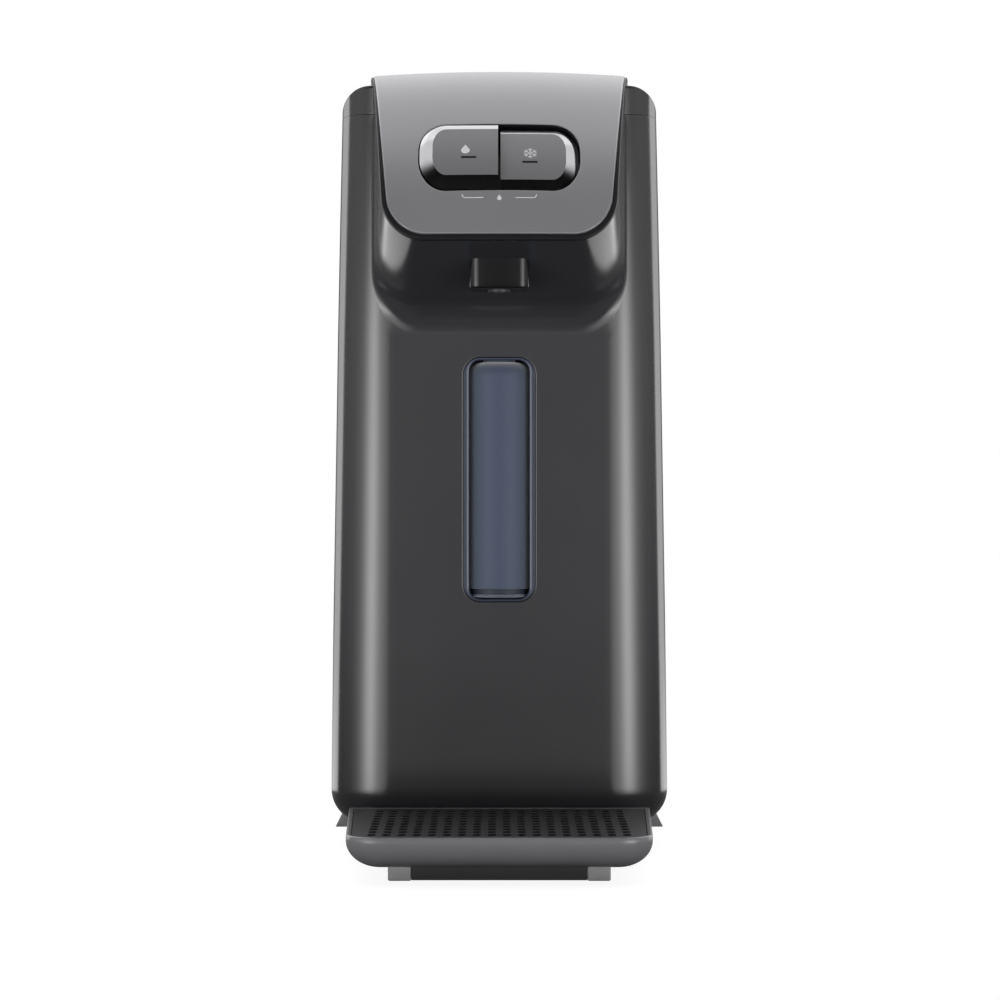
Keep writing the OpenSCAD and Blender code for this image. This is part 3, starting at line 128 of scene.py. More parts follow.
def rounded_loop(w, h, rx, ry, n):
    """Rounded rectangle about the origin."""
    points = []
    for cx, cy, a in ((1, -1, 270), (1, 1, 0), (-1, 1, 90), (-1, -1, 180)):
        points += arc(cx * (w / 2 - rx), cy * (h / 2 - ry), rx, ry, a, a + 90, n)
    return points


def mirrored(points):
    """Adds the other side of a row that ends in the middle."""
    return points + [(-x, y, z) for x, y, z in reversed(points[:-1])]


def halved(a, b, outside):
    """Closes in on the place between a and b where outside turns true."""
    for _ in range(48):
        t = (a + b) / 2
        if outside(t):
            b = t
        else:
            a = t
    return a


def chain(bm, points, closed):
    verts = [bm.verts.new(p) for p in points]
    ends = verts[1:] + verts[:1] if closed else verts[1:]
    return verts, [bm.edges.new(pair) for pair in zip(verts, ends)]


def pull(bm, row, points):
    """Extrudes a row of edges and lays the new row along points."""
    verts, edges = row
    made = bmesh.ops.extrude_edge_only(bm, edges=edges)["geom"]
    fresh = {g for g in made if isinstance(g, bmesh.types.BMVert)}
    ahead = [next(e.other_vert(v) for e in v.link_edges if e.other_vert(v) in fresh) for v in verts]
    for v, p in zip(ahead, points):
        v.co = p
    return ahead, [g for g in made if isinstance(g, bmesh.types.BMEdge) and all(v in fresh for v in g.verts)]


def loft(bm, rows, closed=True, foot=False, top=False):
    """Skin through rows of points, each row drawn out of the one before; gives the first row."""
    row = first = chain(bm, rows[0], closed)
    for points in rows[1:]:
        row = pull(bm, row, points)
    for end, shut in ((first, foot), (row, top)):
        if shut:
            bmesh.ops.contextual_create(bm, geom=end[1])
    return first


def turned(bm, outline, y, closed, steps):
    """Turns an outline of radius and height about an upright axis."""
    verts, edges = chain(bm, [(x, y, z) for x, z in outline], closed)
    bmesh.ops.spin(bm, geom=verts + edges, cent=(0, y, 0), axis=(0, 0, 1), angle=math.tau, steps=steps, use_merge=True)


def rounded_edges(bm, edges, r):
    bmesh.ops.bevel(bm, geom=edges, offset=r, affect="EDGES", segments=3, profile=0.5, material=-1)


def piece(bm, name, materials, body, slot, *nodes, sharp=32.0):
    """Turns a drawing in millimetres into a finished piece that rides on a body."""
    bmesh.ops.remove_doubles(bm, verts=bm.verts, dist=0.002)
    bmesh.ops.recalc_face_normals(bm, faces=bm.faces)
    for f in bm.faces:
        f.smooth = True
    for e in bm.edges:
        e.smooth = len(e.link_faces) != 2 or e.calc_face_angle() < math.radians(sharp)
    bmesh.ops.scale(bm, vec=(MM, MM, MM), verts=bm.verts)
    mesh = bpy.data.meshes.new(name)
    bm.to_mesh(mesh)
    bm.free()
    made = bpy.data.objects.new(name, mesh)
    scene.collection.objects.link(made)
    for m in materials:
        mesh.materials.append(m)
    if nodes:
        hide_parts(*nodes)
    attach(made, body)
    return made


def walled(made, thickness):
    wall = made.modifiers.new("wall", "SOLIDIFY")
    wall.thickness, wall.offset, wall.use_even_offset = thickness * MM, -1, True


# Finishes
def group_socket(group, name, kind, way, value=None):
    s = group.interface.new_socket(name=name, in_out=way, socket_type=kind)
    if value is not None:
        s.default_value = value


def moulding_group():
    """Fine texture of a moulded surface: a height, a drifting tone and a drifting roughness."""
    g = bpy.data.node_groups.new("moulding", "ShaderNodeTree")
    for name, value in (("Grain", 1600.0), ("Drift", 18.0), ("Tone", 0.1), ("Rough", 0.3), ("Rough Drift", 0.05)):
        group_socket(g, name, "NodeSocketFloat", "INPUT", value)
    group_socket(g, "Colour", "NodeSocketColor", "INPUT", (0.5, 0.5, 0.5, 1))
    group_socket(g, "Colour", "NodeSocketColor", "OUTPUT")
    group_socket(g, "Rough", "NodeSocketFloat", "OUTPUT")
    group_socket(g, "Height", "NodeSocketFloat", "OUTPUT")
    n, link = g.nodes.new, g.links.new
    entry, leave, place = n("NodeGroupInput"), n("NodeGroupOutput"), n("ShaderNodeTexCoord")

    def noise(scale, detail):
        node = n("ShaderNodeTexNoise")
        node.inputs["Detail"].default_value = detail
        link(place.outputs["Object"], node.inputs["Vector"])
        link(entry.outputs[scale], node.inputs["Scale"])
        return node.outputs["Fac"]

    def drifting(amount, base):
        """The drift, scaled by amount, about a base level."""
        node = n("ShaderNodeMath")
        node.operation = "MULTIPLY_ADD"
        link(centred.outputs[0], node.inputs[0])
        link(entry.outputs[amount], node.inputs[1])
        if isinstance(base, float):
            node.inputs[2].default_value = base
        else:
            link(base, node.inputs[2])
        return node.outputs[0]

    centred = n("ShaderNodeMath")
    centred.operation = "SUBTRACT"
    centred.inputs[1].default_value = 0.5
    link(noise("Drift", 2.0), centred.inputs[0])
    shade = n("ShaderNodeVectorMath")
    shade.operation = "SCALE"
    link(entry.outputs["Colour"], shade.inputs[0])
    link(drifting("Tone", 1.0), shade.inputs["Scale"])
    link(shade.outputs[0], leave.inputs["Colour"])
    link(drifting("Rough Drift", entry.outputs["Rough"]), leave.inputs["Rough"])
    link(noise("Grain", 3.0), leave.inputs["Height"])
    return g


MOULDING = moulding_group()


def finish(name, colour, rough, grain=1600.0, depth=0.004, tone=0.1, metal=0.0, shine=0.5, sheen=0.0):
    """A moulded, cast or drawn finish: colour, roughness and fine bump from one group, the rest on the shader."""
    m = bpy.data.materials.new(name)
    m.use_nodes = True
    m.diffuse_color = (*colour, 1)
    n, link = m.node_tree.nodes.new, m.node_tree.links.new
    shader = m.node_tree.nodes["Principled BSDF"]
    texture = n("ShaderNodeGroup")
    texture.node_tree = MOULDING
    for key, value in (("Grain", grain), ("Tone", tone), ("Rough", rough), ("Colour", (*colour, 1))):
        texture.inputs[key].default_value = value
    bump = n("ShaderNodeBump")
    bump.inputs["Strength"].default_value = 0.5
    bump.inputs["Distance"].default_value = depth * MM
    link(texture.outputs["Height"], bump.inputs["Height"])
    link(bump.outputs["Normal"], shader.inputs["Normal"])
    link(texture.outputs["Colour"], shader.inputs["Base Color"])
    link(texture.outputs["Rough"], shader.inputs["Roughness"])
    shader.inputs["Metallic"].default_value = metal
    shader.inputs["Specular IOR Level"].default_value = shine
    shader.inputs["Sheen Weight"].default_value = sheen
    return m


charcoal_gloss = finish("charcoal_gloss", (0.026, 0.026, 0.0285), 0.17, shine=0.62)
tray_gloss = finish("tray_gloss", (0.216, 0.216, 0.227), 0.25)
trim_black = finish("trim_black", (0.012, 0.012, 0.013), 0.45, shine=0.2)
panel_satin = finish("panel_satin", (0.31, 0.31, 0.325), 0.40, grain=2600, depth=0.006, metal=0.48, tone=0.05)
key_satin = finish("key_satin", (0.22, 0.22, 0.228), 0.38, grain=2600, depth=0.006, metal=0.45, tone=0.05)
key_chrome = finish("key_chrome", (0.50, 0.50, 0.515), 0.16, metal=1.0, tone=0.04, depth=0.002)
well_black = finish("well_black", (0.004, 0.004, 0.005), 0.3, shine=0.3)
lens_smoke = finish("lens_smoke", (0.004, 0.004, 0.005), 0.3, shine=0.2)
print_white = finish("print_white", (0.62, 0.62, 0.64), 0.5)
filter_blue = finish("filter_blue", (0.037, 0.053, 0.097), 0.55, shine=0.3, sheen=0.9)
band_navy = finish("band_navy", (0.012, 0.016, 0.03), 0.5, shine=0.3)
pocket_navy = finish("pocket_navy", (0.030, 0.038, 0.062), 0.26)
spout_gloss = finish("spout_gloss", (0.005, 0.005, 0.006), 0.12, shine=0.3)
grille_black = finish("grille_black", (0.040, 0.040, 0.043), 0.38)
base_black = finish("base_black", (0.036, 0.036, 0.038), 0.5, grain=900, depth=0.02)
foot_grey = finish("foot_grey", (0.50, 0.50, 0.51), 0.6, grain=700, depth=0.03)
rear_grain = finish("rear_grain", (0.040, 0.040, 0.042), 0.5, grain=800, depth=0.05)
steel_plate = finish("steel_plate", (0.56, 0.56, 0.58), 0.32, grain=500, metal=1.0)
foam_white = finish("foam_white", (0.82, 0.82, 0.80), 0.85, grain=250, depth=0.3)
alloy_drawn = finish("alloy_drawn", (0.66, 0.66, 0.68), 0.35, grain=900, metal=1.0)
white_mould = finish("white_mould", (0.72, 0.72, 0.69), 0.4)
milky_tube = finish("milky_tube", (0.70, 0.72, 0.73), 0.3)
black_mould = finish("black_mould", (0.016, 0.016, 0.018), 0.45)
board_green = finish("board_green", (0.025, 0.14, 0.055), 0.35, tone=0.3)
case_grey = finish("case_grey", (0.14, 0.14, 0.15), 0.5)
soft_black = finish("soft_black", (0.014, 0.014, 0.015), 0.7, grain=600, depth=0.03)

# Solids that stay as they are, by finish
KEPT = {
    lens_smoke: ["left_lens", "right_lens"],
    band_navy: ["filter_ring"],
    grille_black: ["drip_grille"],
    base_black: ["base_plate"],
    rear_grain: ["rear_cover"],
    steel_plate: ["rear_screws", "base_screws", "fan_screws", "cold_tank", "tank_shelf", "left_key_spring",
                  "right_key_spring"],
    foam_white: ["insulation_front", "insulation_rear", "thermo_module"],
    alloy_drawn: ["cold_plate", "heat_sink"],
    white_mould: ["filter_head", "plain_valve", "cold_valve", "inlet_fitting", "left_key_switch", "right_key_switch"],
    milky_tube: ["inlet_hose", "feed_hose", "cold_hose", "plain_spout_hose", "cold_spout_hose"],
    black_mould: ["fan_frame", "fan_rotor"],
    board_green: ["control_board"],
    case_grey: ["power_supply"],
    soft_black: ["filter_seal", "cable_gland"],
}
for m, names in KEPT.items():
    for name in names:
        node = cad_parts[name]
        node.data.materials.clear()
        node.data.materials.append(m)


# Body
def body_half(z):
    """Half the width of the body, which narrows upwards and swells a little half way."""
    t = (z - LIFT) / (SEAM - LIFT)
    return mix(FOOT_W, TOP_W, t) / 2 + 4 * SWELL * t * (1 - t)


def round_the_back(w, side, back):
    """Right side, rear corners and left side of an outline, from and to the end of its front corners."""
    r, turn = REAR_R, back - REAR_R
    points = [(w, side), (w, turn - BESIDE_REAR)] + arc(w - r, turn, r, r, 0, 90, 5)
    points += [(w - r - BESIDE_REAR, back), (BESIDE_REAR + r - w, back)] + arc(r - w, turn, r, r, 90, 180, 5)
    return points + [(-w, turn - BESIDE_REAR), (-w, side)]


def body_ring(z, inset):
    """Outline of the body, drawn in by inset."""
    w, half, front = body_half(z) - inset, FLAT_W / 2 + FLAT_GAIN * (SEAM - z) / SEAM, FACE + inset
    rx, ry, flat = w - half, CORNER_D - inset, FLAT_W / 2 - BESIDE_FLAT
    points = arc(-half, front + ry, rx, ry, 180, 270, 20)
    points += [(-flat, front), (flat, front)]
    points += arc(half, front + ry, rx, ry, 270, 360, 20)
    points += round_the_back(w, FACE + CORNER_D + BESIDE_SIDE, BACK)
    return [(x, y, z) for x, y in points]


def pocket_loops(steps):
    """Rounded loops about the filter's opening, each grown at its sides and ends and set back from the face."""
    return [[(x, FACE + depth, POCKET_MID + z) for x, z in
             rounded_loop(POCKET_W + 2 * side, POCKET_H + 2 * end, POCKET_R + side, POCKET_R + side, 10)]
            for side, end, depth in steps]


def housing_shell():
    bm = bmesh.new()
    rows = [body_ring(LIFT, FOOT_R + 10), body_ring(LIFT, FOOT_R + 3)]
    for t in quarter(12):
        rows.append(body_ring(LIFT + FOOT_R * (1 - math.cos(t)), FOOT_R * (1 - math.sin(t))))
    low, high = (POCKET_MID + s * (POCKET_H / 2 + ROUND_OPENING) for s in (-1, 1))
    heights = [LIFT + FOOT_R + 3, 60.0, 90.0, low, high, 290.0, 320.0, 345.0, SEAM - 3]
    rows += [body_ring(z, 0) for z in heights]
    rows += [body_ring(SEAM - away, inset) for away, inset in SEAM_EDGE]
    loft(bm, rows)
    # The rear is open for the rear cover
    rear = [f for f in bm.faces if all(v.co.y > BACK - 1e-3 for v in f.verts)]
    bmesh.ops.delete(bm, geom=rear, context="FACES")
    # The flat round the filter gives way to the opening
    flat = FLAT_W / 2 - BESIDE_FLAT
    front = [f for f in bm.faces if all(abs(v.co.y - FACE) < 1e-3 and abs(abs(v.co.x) - flat) < 1e-3
                                        and low - 1 < v.co.z < high + 1 for v in f.verts)]
    frame_edges = [e for f in front for e in f.edges]
    bmesh.ops.delete(bm, geom=front, context="FACES_ONLY")
    steps = [(3.0, 0.0), (0.6, 0.0), (0.1, 0.0), (0.03, 0.03), (0.0, 0.1), (0.0, 0.6), (0.0, OPENING_D)]
    first = loft(bm, pocket_loops([(grow, grow, depth) for grow, depth in steps]))
    bmesh.ops.triangle_fill(bm, use_beauty=True, edges=frame_edges + first[1])
    walled(piece(bm, "housing_shell", [charcoal_gloss], "housing", "housing", "main_housing"), WALL)


def crown_z_at(x, y, r):
    """Height of the crowned surface of radius r over a point."""
    reach = r * r - (AXIS_Y - y) ** 2
    if reach <= 0:
        return -1e3
    return CROWN_Z + math.sqrt((CROWN_R - PANEL_R + math.sqrt(reach)) ** 2 - x * x)


def lid_ring(z, cut, brow, at=None):
    """Outline of the lid where its sides have come in by cut and its front and rear edges by brow."""
    half, front = FLAT_W / 2, FACE + CORNER_D
    rx, ry, flat = body_half(z) - half, CORNER_D - brow, half - BESIDE_FLAT
    turn = math.degrees(math.acos(1 - cut / rx))
    points = arc(-half, front, rx, ry, 180 + turn, 270, 20)
    points += [(-flat, FACE + brow), (flat, FACE + brow)]
    points += arc(half, front, rx, ry, 270, 360 - turn, 20)
    points += round_the_back(body_half(z) - cut, points[-1][1] + BESIDE_SIDE, BACK - brow)
    return [(x, y, z if at is None else at) for x, y in points]


def hump_row(y):
    """Section of the hump behind the panel, with rounded edges."""
    half, r = HUMP_HALF, PANEL_R - HUMP_DROP
    row = [(-half, y, SHOULDER - 4), (-half, y, crown_z_at(half, y, r) - HUMP_R - 0.4)]
    for t in quarter(5)[1:]:
        row.append((-half + HUMP_R * (1 - math.cos(t)), y,
                    crown_z_at(half - HUMP_R, y, r) - HUMP_R * (1 - math.sin(t))))
    flat = half - 2 * HUMP_R
    across = [mix(-flat, flat, i / 16) for i in range(17)]
    return row + [(x, y, crown_z_at(x, y, r)) for x in across] + [(-x, y, z) for x, y, z in reversed(row)]


def lid():
    bm = bmesh.new()
    start, spring = SEAM + SEAM_GAP, SHOULDER - SHOULDER_R
    rows = [body_ring(start + away, inset) if inset else lid_ring(start + away, 0, 0)
            for away, inset in reversed(SEAM_EDGE)]
    rows.append(lid_ring(spring, 0, 0))
    for t in quarter(18)[1:]:
        rise = SHOULDER_R * math.sin(t)
        over = max(rise - SHOULDER_R + BROW_R, 0.0)
        brow = BROW_R - math.sqrt(max(BROW_R ** 2 - over ** 2, 0.0))
        rows.append(lid_ring(spring, SHOULDER_W * (1 - math.cos(t)), brow, spring + rise))
    rows.append(lid_ring(spring, SHOULDER_W + 2, BROW_R + 2, SHOULDER))
    loft(bm, rows, top=True)
    loft(bm, [hump_row(mix(AXIS_Y + 0.2, AXIS_Y + HUMP_L, k / 18)) for k in range(19)], closed=False)
    piece(bm, "lid", [charcoal_gloss], "housing", "housing", "top_cover")


# Head
CORNER_U = [i / 18 for i in range(19)]
UNDER_U = [1 + i / 10 for i in range(1, 11)]


def panel_half(y):
    """Half the width across the trim, which narrows evenly along the panel's curve."""
    t = math.asin((AXIS_Y - y) / PANEL_R) / math.asin((AXIS_Y - LIP_Y) / PANEL_R)
    return mix(HEAD_TOP_W, HEAD_LIP_W, t) / 2


def flare(away, r):
    """How far a fillet of radius r widens the head at a distance from the face."""
    s = min(max(away, 0.0), r)
    return r - math.sqrt(r * r - (r - s) ** 2)


def face_back(x, z):
    """How far the body's rounded front lies behind its flat middle."""
    over = max(abs(x) - FLAT_W / 2, 0.0) / (body_half(z) - FLAT_W / 2)
    return CORNER_D * (1 - math.sqrt(1 - min(over, 1.0) ** 2))


def head_point(u, y, inset, grow=0.0, sink=0.0):
    """Point on the head: u runs 0 to 1 round the lower corner and 1 to 2 along the underside to the middle."""
    t = (FACE - y) / REACH
    w, z = panel_half(y) + grow - inset, mix(ROOT_H, LIP_H, t) - sink + inset
    cw, ch = (mix(a, b, t) - inset for a, b in zip(ROOT_CORNER, LIP_CORNER))
    if u <= 1:
        a = math.radians(90 * u)
        return (w - cw + cw * math.cos(a), y, z + ch - ch * math.sin(a))
    return ((w - cw) * (2 - u), y, z)


def edge_y(u, r, inset):
    """Where a line along the head reaches the crowned surface."""
    def outside(y):
        x, _, z = head_point(u, y, inset)
        return crown_z_at(x, y, r) <= z

    return halved(FACE - 8, AXIS_Y - r + 0.01, outside)


def edge_in(inset, y):
    """The trim widens down the panel while the rounding of the panel's edge gets smaller."""
    t = (AXIS_Y - y) / (AXIS_Y - LIP_Y)
    return min(inset, PANEL_IN) * mix(0.3, 1.25, t ** 4) + max(inset - PANEL_IN, 0.0) * mix(1.2, 0.3, t)


def panel_edge(inset, r, top=AXIS_Y):
    """Edge of the panel or its trim on the crowned surface, from the top on one side round the lip to the other."""
    ends = {u: edge_in(inset, edge_y(u, r, inset)) for u in CORNER_U + UNDER_U}
    corner = edge_y(0.0, r, ends[0.0])
    row = []
    for k in range(36):
        y = mix(top, corner, k / 36)
        w = panel_half(y) - edge_in(inset, y)
        row.append((w, y, crown_z_at(w, y, r)))
    for u, own in ends.items():
        row.append(head_point(u, edge_y(u, r, own), own))
    return mirrored(row)


def cowl():
    """The head's shell: its skirt lies on the body's rounded front and runs out of it in a smooth fillet."""
    bm = bmesh.new()
    r = PANEL_R - COWL_DROP
    ends = {u: edge_y(u, r, 0.0) for u in CORNER_U + UNDER_U}
    side_n, run_n = 16, 24

    def settled(x, y, z):
        """Follows the body's rounded front close to it."""
        near = max(1 - (FACE - y) / SETTLE, 0.0) ** 2
        return (x, y + face_back(x, z) * near - 0.03, z)

    def row_at(far, skirt, run):
        grow, sink = flare(far, SIDE_FILLET) + skirt, flare(far, UNDER_FILLET) + skirt
        y = mix(FACE - far, ends[0.0], run)
        x, _, low = head_point(0.0, y, 0.0, 0.0, sink)
        top = crown_z_at(x, y, r)
        row = []
        for i in range(side_n):
            z = mix(top, low, i / side_n)
            row.append(settled(x + grow * eased((SEAM - 1 - z) / 10), y, z))
        for u in CORNER_U + UNDER_U:
            row.append(settled(*head_point(u, mix(FACE - far, ends[u], run), 0.0, grow, sink)))
        return mirrored(row)

    skin = [row_at(0.0, skirt, 0.0) for skirt in (4.0, 1.5)]
    skin += [row_at(UNDER_FILLET * (1 - math.cos(t)), 0.0, 0.0) for t in quarter(20)]
    skin += [row_at(UNDER_FILLET, 0.0, k / run_n) for k in range(1, run_n + 1)]
    loft(bm, skin, closed=False)
    # Side walls beside the lid's hump
    for s in (-1, 1):
        foot = [(s * panel_half(y), y, COWL_SIDE_FOOT) for y in (mix(FACE - 0.5, AXIS_Y, i / 16) for i in range(17))]
        loft(bm, [foot, [(x, y, crown_z_at(x, y, r)) for x, y, _ in foot]], closed=False)
    piece(bm, "cowl", [charcoal_gloss], "housing", "cowl", "head_cowl")


def trim():
    bm = bmesh.new()
    rows = [(0.0, PANEL_T), (0.0, 1.3), (0.1, 0.85), (0.3, 0.64), (0.6, 0.6), (TRIM_W - 0.4, 0.6), (TRIM_W - 0.1, 0.7),
            (TRIM_W, 1.0), (TRIM_W, PANEL_T)]
    loft(bm, [panel_edge(inset, PANEL_R - level) for inset, level in rows], closed=False)
    piece(bm, "trim", [trim_black], "housing", "trim", "panel_trim")


# Panel
def on_crown(x, s, r=PANEL_R):
    """Point of the panel: x across, s down along its curve from the top."""
    a = s / PANEL_R
    return (x, AXIS_Y - r * math.sin(a), CROWN_Z + math.sqrt((CROWN_R - PANEL_R + r * math.cos(a)) ** 2 - x * x))


def down_panel(y, r):
    """Way down along the panel's curve to a place on it."""
    return PANEL_R * math.asin(min((AXIS_Y - y) / r, 1.0))


def key_window(x, s, grow):
    """Below zero inside the opening round the keys, grown by a margin."""
    v = PANEL_R * math.sin((KEY_S - s) / PANEL_R) - KEY_UP
    hx, hy, rx, ry = (size + KEY_GAP + grow for size in (KEY_W, KEY_H, KEY_RX, KEY_RY))
    return math.hypot(max(abs(x) - hx + rx, 0) / rx, max(abs(v) - hy + ry, 0) / ry) - 1


def window_point(x, s, grow):
    """Where the line from the middle of the keys to a point crosses the opening."""
    def place(t):
        return x * t, mix(KEY_S - KEY_UP, s, t)

    return place(halved(0.0, 1.0, lambda t: key_window(*place(t), grow) > 0))


def panel():
    bm = bmesh.new()
    r = PANEL_EDGE_R

    def ring(inset, level):
        """Closed edge of the panel: sides and lip, then back along the top."""
        side = panel_edge(inset, PANEL_R - level, AXIS_Y - max(inset - PANEL_IN, 0.0))
        flat = [(x, down_panel(y, PANEL_R - level)) for x, y, _ in side]
        (x0, s0), (x1, _) = flat[-1], flat[0]
        return flat + [(mix(x0, x1, i / 24), s0) for i in range(1, 24)]

    rows = [(PANEL_IN, PANEL_T)]
    rows += [(PANEL_IN + r * (1 - math.cos(t)), r * (1 - math.sin(t))) for t in quarter(6)]
    skin = [[on_crown(x, s, PANEL_R - level) for x, s in ring(inset, level)] for inset, level in rows]
    outer = ring(PANEL_IN + r + 0.6, 0.0)
    skin.append([on_crown(x, s) for x, s in outer])
    inner = [window_point(x, s, 1.0) for x, s in outer]
    for k in range(1, 15):
        t = (k / 14) ** 1.2
        skin.append([on_crown(mix(x0, x1, t), mix(s0, s1, t)) for (x0, s0), (x1, s1) in zip(outer, inner)])
    inward = Vector((0, math.sin(KEY_TILT), -math.cos(KEY_TILT)))
    wall = [[Vector(on_crown(*window_point(x, s, grow))) + level * inward for x, s in outer]
            for grow, level in ((0.5, 0.0), (0.15, 0.1), (0.0, 0.3), (0.0, PANEL_T))]
    loft(bm, skin + wall[:2])
    face = set(bm.faces)
    loft(bm, wall[1:])
    for f in bm.faces:
        f.material_index = 0 if f in face else 1
    piece(bm, "panel", [panel_satin, well_black], "housing", "panel", "control_panel", sharp=50)


# Keys
ACROSS = [i / 10 for i in range(11)]
ROUND = quarter(12)[1:]
UP = [i / 12 for i in range(13)]


def on_keys(u, v, level, sunk=0.0):
    """Point in the keys' own frame: u across, v up the panel, level out of it, following the panel's curve."""
    h = level - v * v / (2 * PANEL_R) - u * u / (2 * KEY_BEND) - sunk
    c, s = math.cos(KEY_TILT), math.sin(KEY_TILT)
    return (u, KEY_Y + v * c - h * s, KEY_Z + v * s + h * c)


def key_column(inset, k):
    """Place across and half height of one column of a key; the columns past the straight part go round the corner."""
    w, h, rx, ry = (size - inset for size in (KEY_W, KEY_H, KEY_RX, KEY_RY))
    if k < len(ACROSS):
        return mix(KEY_SPLIT, w - rx, ACROSS[k]), h
    a = ROUND[k - len(ACROSS)]
    return w - rx + rx * math.sin(a), h - ry + ry * math.cos(a)


def key(name, side, sunk, body, slot, node):
    bm = bmesh.new()
    columns = range(len(ACROSS) + len(ROUND))

    def ring(inset, level):
        def lift(y):
            """The border is rounded on the upper half and straight on the lower half."""
            return mix(KEY_PROUD * inset / KEY_BEVEL, level, eased(y / 16 + 0.5)) if inset else level

        low = [(x, -y) for x, y in (key_column(inset, k) for k in columns)]
        x1, y1 = low[-1]
        end = [(x1, mix(y1, -y1, t)) for t in UP[1:-1]]
        high = [(x, -y) for x, y in reversed(low)]
        split = [(KEY_SPLIT, mix(high[-1][1], low[0][1], t)) for t in UP[1:-1]]
        return [on_keys(side * x, y + KEY_UP, lift(y), sunk) for x, y in low + end + high + split]

    rows = [(0.0, -7.0), (0.0, -0.1), (0.03, -0.02), (0.1, 0.06), (1.1, 0.72), (2.0, 1.26), (2.5, 1.5), (3.0, 1.68),
            (3.6, 1.85), (5.0, 2.2), (KEY_BEVEL - 0.1, KEY_PROUD - 0.025), (KEY_BEVEL, KEY_PROUD)]
    loft(bm, [ring(inset, level) for inset, level in rows])
    border = set(bm.faces)
    face = []
    for k in columns:
        x, y = key_column(KEY_BEVEL, k)
        face.append([on_keys(side * x, mix(-y, y, t) + KEY_UP, KEY_PROUD, sunk) for t in UP])
    loft(bm, face, closed=False)
    for f in bm.faces:
        f.material_index = 1 if f in border else 0
    piece(bm, name, [key_satin, key_chrome], body, slot, node, sharp=10)


def well():
    """Black tub that the keys sink into."""
    bm = bmesh.new()
    rows = []
    for grow, level in ((2.0, -13.8), (2.0, -3.1), (0.0, -3.1), (0.0, -11.4)):
        hx, hy, rx, ry = (size + KEY_GAP + grow for size in (KEY_W, KEY_H, KEY_RX, KEY_RY))
        rows.append([on_keys(x, y + KEY_UP, level) for x, y in rounded_loop(2 * hx, 2 * hy, rx, ry, 16)])
    loft(bm, rows, foot=True, top=True)
    piece(bm, "well", [well_black], "housing", "well", "key_well")


# Print
def strip(bm, place, line, w):
    """Thin printed line along points in a surface's own coordinates."""
    sides = ([], [])
    for i, (u, v) in enumerate(line):
        (u0, v0), (u1, v1) = line[max(i - 1, 0)], line[min(i + 1, len(line) - 1)]
        run = math.hypot(u1 - u0, v1 - v0)
        for side, way in zip(sides, (0.5, -0.5)):
            side.append(place(u - way * w * (v1 - v0) / run, v + way * w * (u1 - u0) / run))
    loft(bm, sides, closed=False)


def drop_print(bm, place, u, v, size):
    """Water drop: a round foot drawn out to a point."""
    outline = [(0.0, 1.9)] + arc(0, 0, 1, 1, 150, 390, 24)
    rings = [[place(u + size * k * x, v + size * k * y) for x, y in outline] for k in (1.0, 0.7, 0.4, 0.15)]
    loft(bm, rings, top=True)


def flake_print(bm, place, u, v, size, w):
    """Snow crystal: six arms, each with a pair of twigs."""
    for k in range(6):
        c, s = math.cos(math.radians(60 * k + 30)), math.sin(math.radians(60 * k + 30))

        def line(*points):
            strip(bm, place, [(u + size * (out * c - across * s), v + size * (out * s + across * c))
                              for out, across in points], w)

        line((0.1, 0), (0.5, 0), (1, 0))
        for way in (-1, 1):
            line((0.58, 0.06 * way), (0.84, 0.32 * way))


def prints():
    def left(u, v):
        return on_keys(u, v, KEY_PROUD + MARK_LIFT)

    def right(u, v):
        return on_keys(u, v, KEY_PROUD + MARK_LIFT, LATCH)

    def below(u, v):
        return on_crown(u, BRACKET_S - v, PANEL_R + 0.05)

    bm = bmesh.new()
    drop_print(bm, left, -16.4, 1.5, 2.1)
    piece(bm, "drop_mark", [print_white], "left_key", None)
    bm = bmesh.new()
    flake_print(bm, right, 15.0, 2.9, 3.4, 0.5)
    piece(bm, "flake_mark", [print_white], "right_key", None)
    bm = bmesh.new()
    bracket = [(17.9, 2.0), (17.6, 0.9), (17.1, 0.25), (16.2, 0.0), (13.0, 0.0), (7.7, 0.0)]
    for side in (-1, 1):
        strip(bm, below, [(side * x, v) for x, v in bracket], 0.5)
    drop_print(bm, below, 0.0, -0.4, 1.1)
    piece(bm, "bracket_mark", [print_white], "housing", None)


# Spout
def spout():
    bm = bmesh.new()
    rows = [(SPOUT_EDGE * (1 - math.sin(t)), SPOUT_FOOT + SPOUT_EDGE * (1 - math.cos(t))) for t in quarter(5)]
    rows += [(0.0, SPOUT_FOOT + 3.3), (0.0, SPOUT_TOP)]
    loft(bm, [[(x, SPOUT_Y + y, z) for x, y in
               rounded_loop(SPOUT_W - 2 * i, SPOUT_D - 2 * i, SPOUT_R - i, SPOUT_R - i, 12)] for i, z in rows],
         foot=True, top=True)
    piece(bm, "spout", [spout_gloss], "housing", "spout", "spout_block")
    bm = bmesh.new()
    outline = [(5.6, 291.0), (5.6, 278.9), (5.45, 278.5), (5.1, 278.3), (4.5, 278.3), (4.15, 278.45), (4.0, 278.8),
               (4.0, 291.0)]
    turned(bm, outline, SPOUT_Y, True, 48)
    piece(bm, "nozzle", [black_mould], "housing", "nozzle", "spout_nozzle")


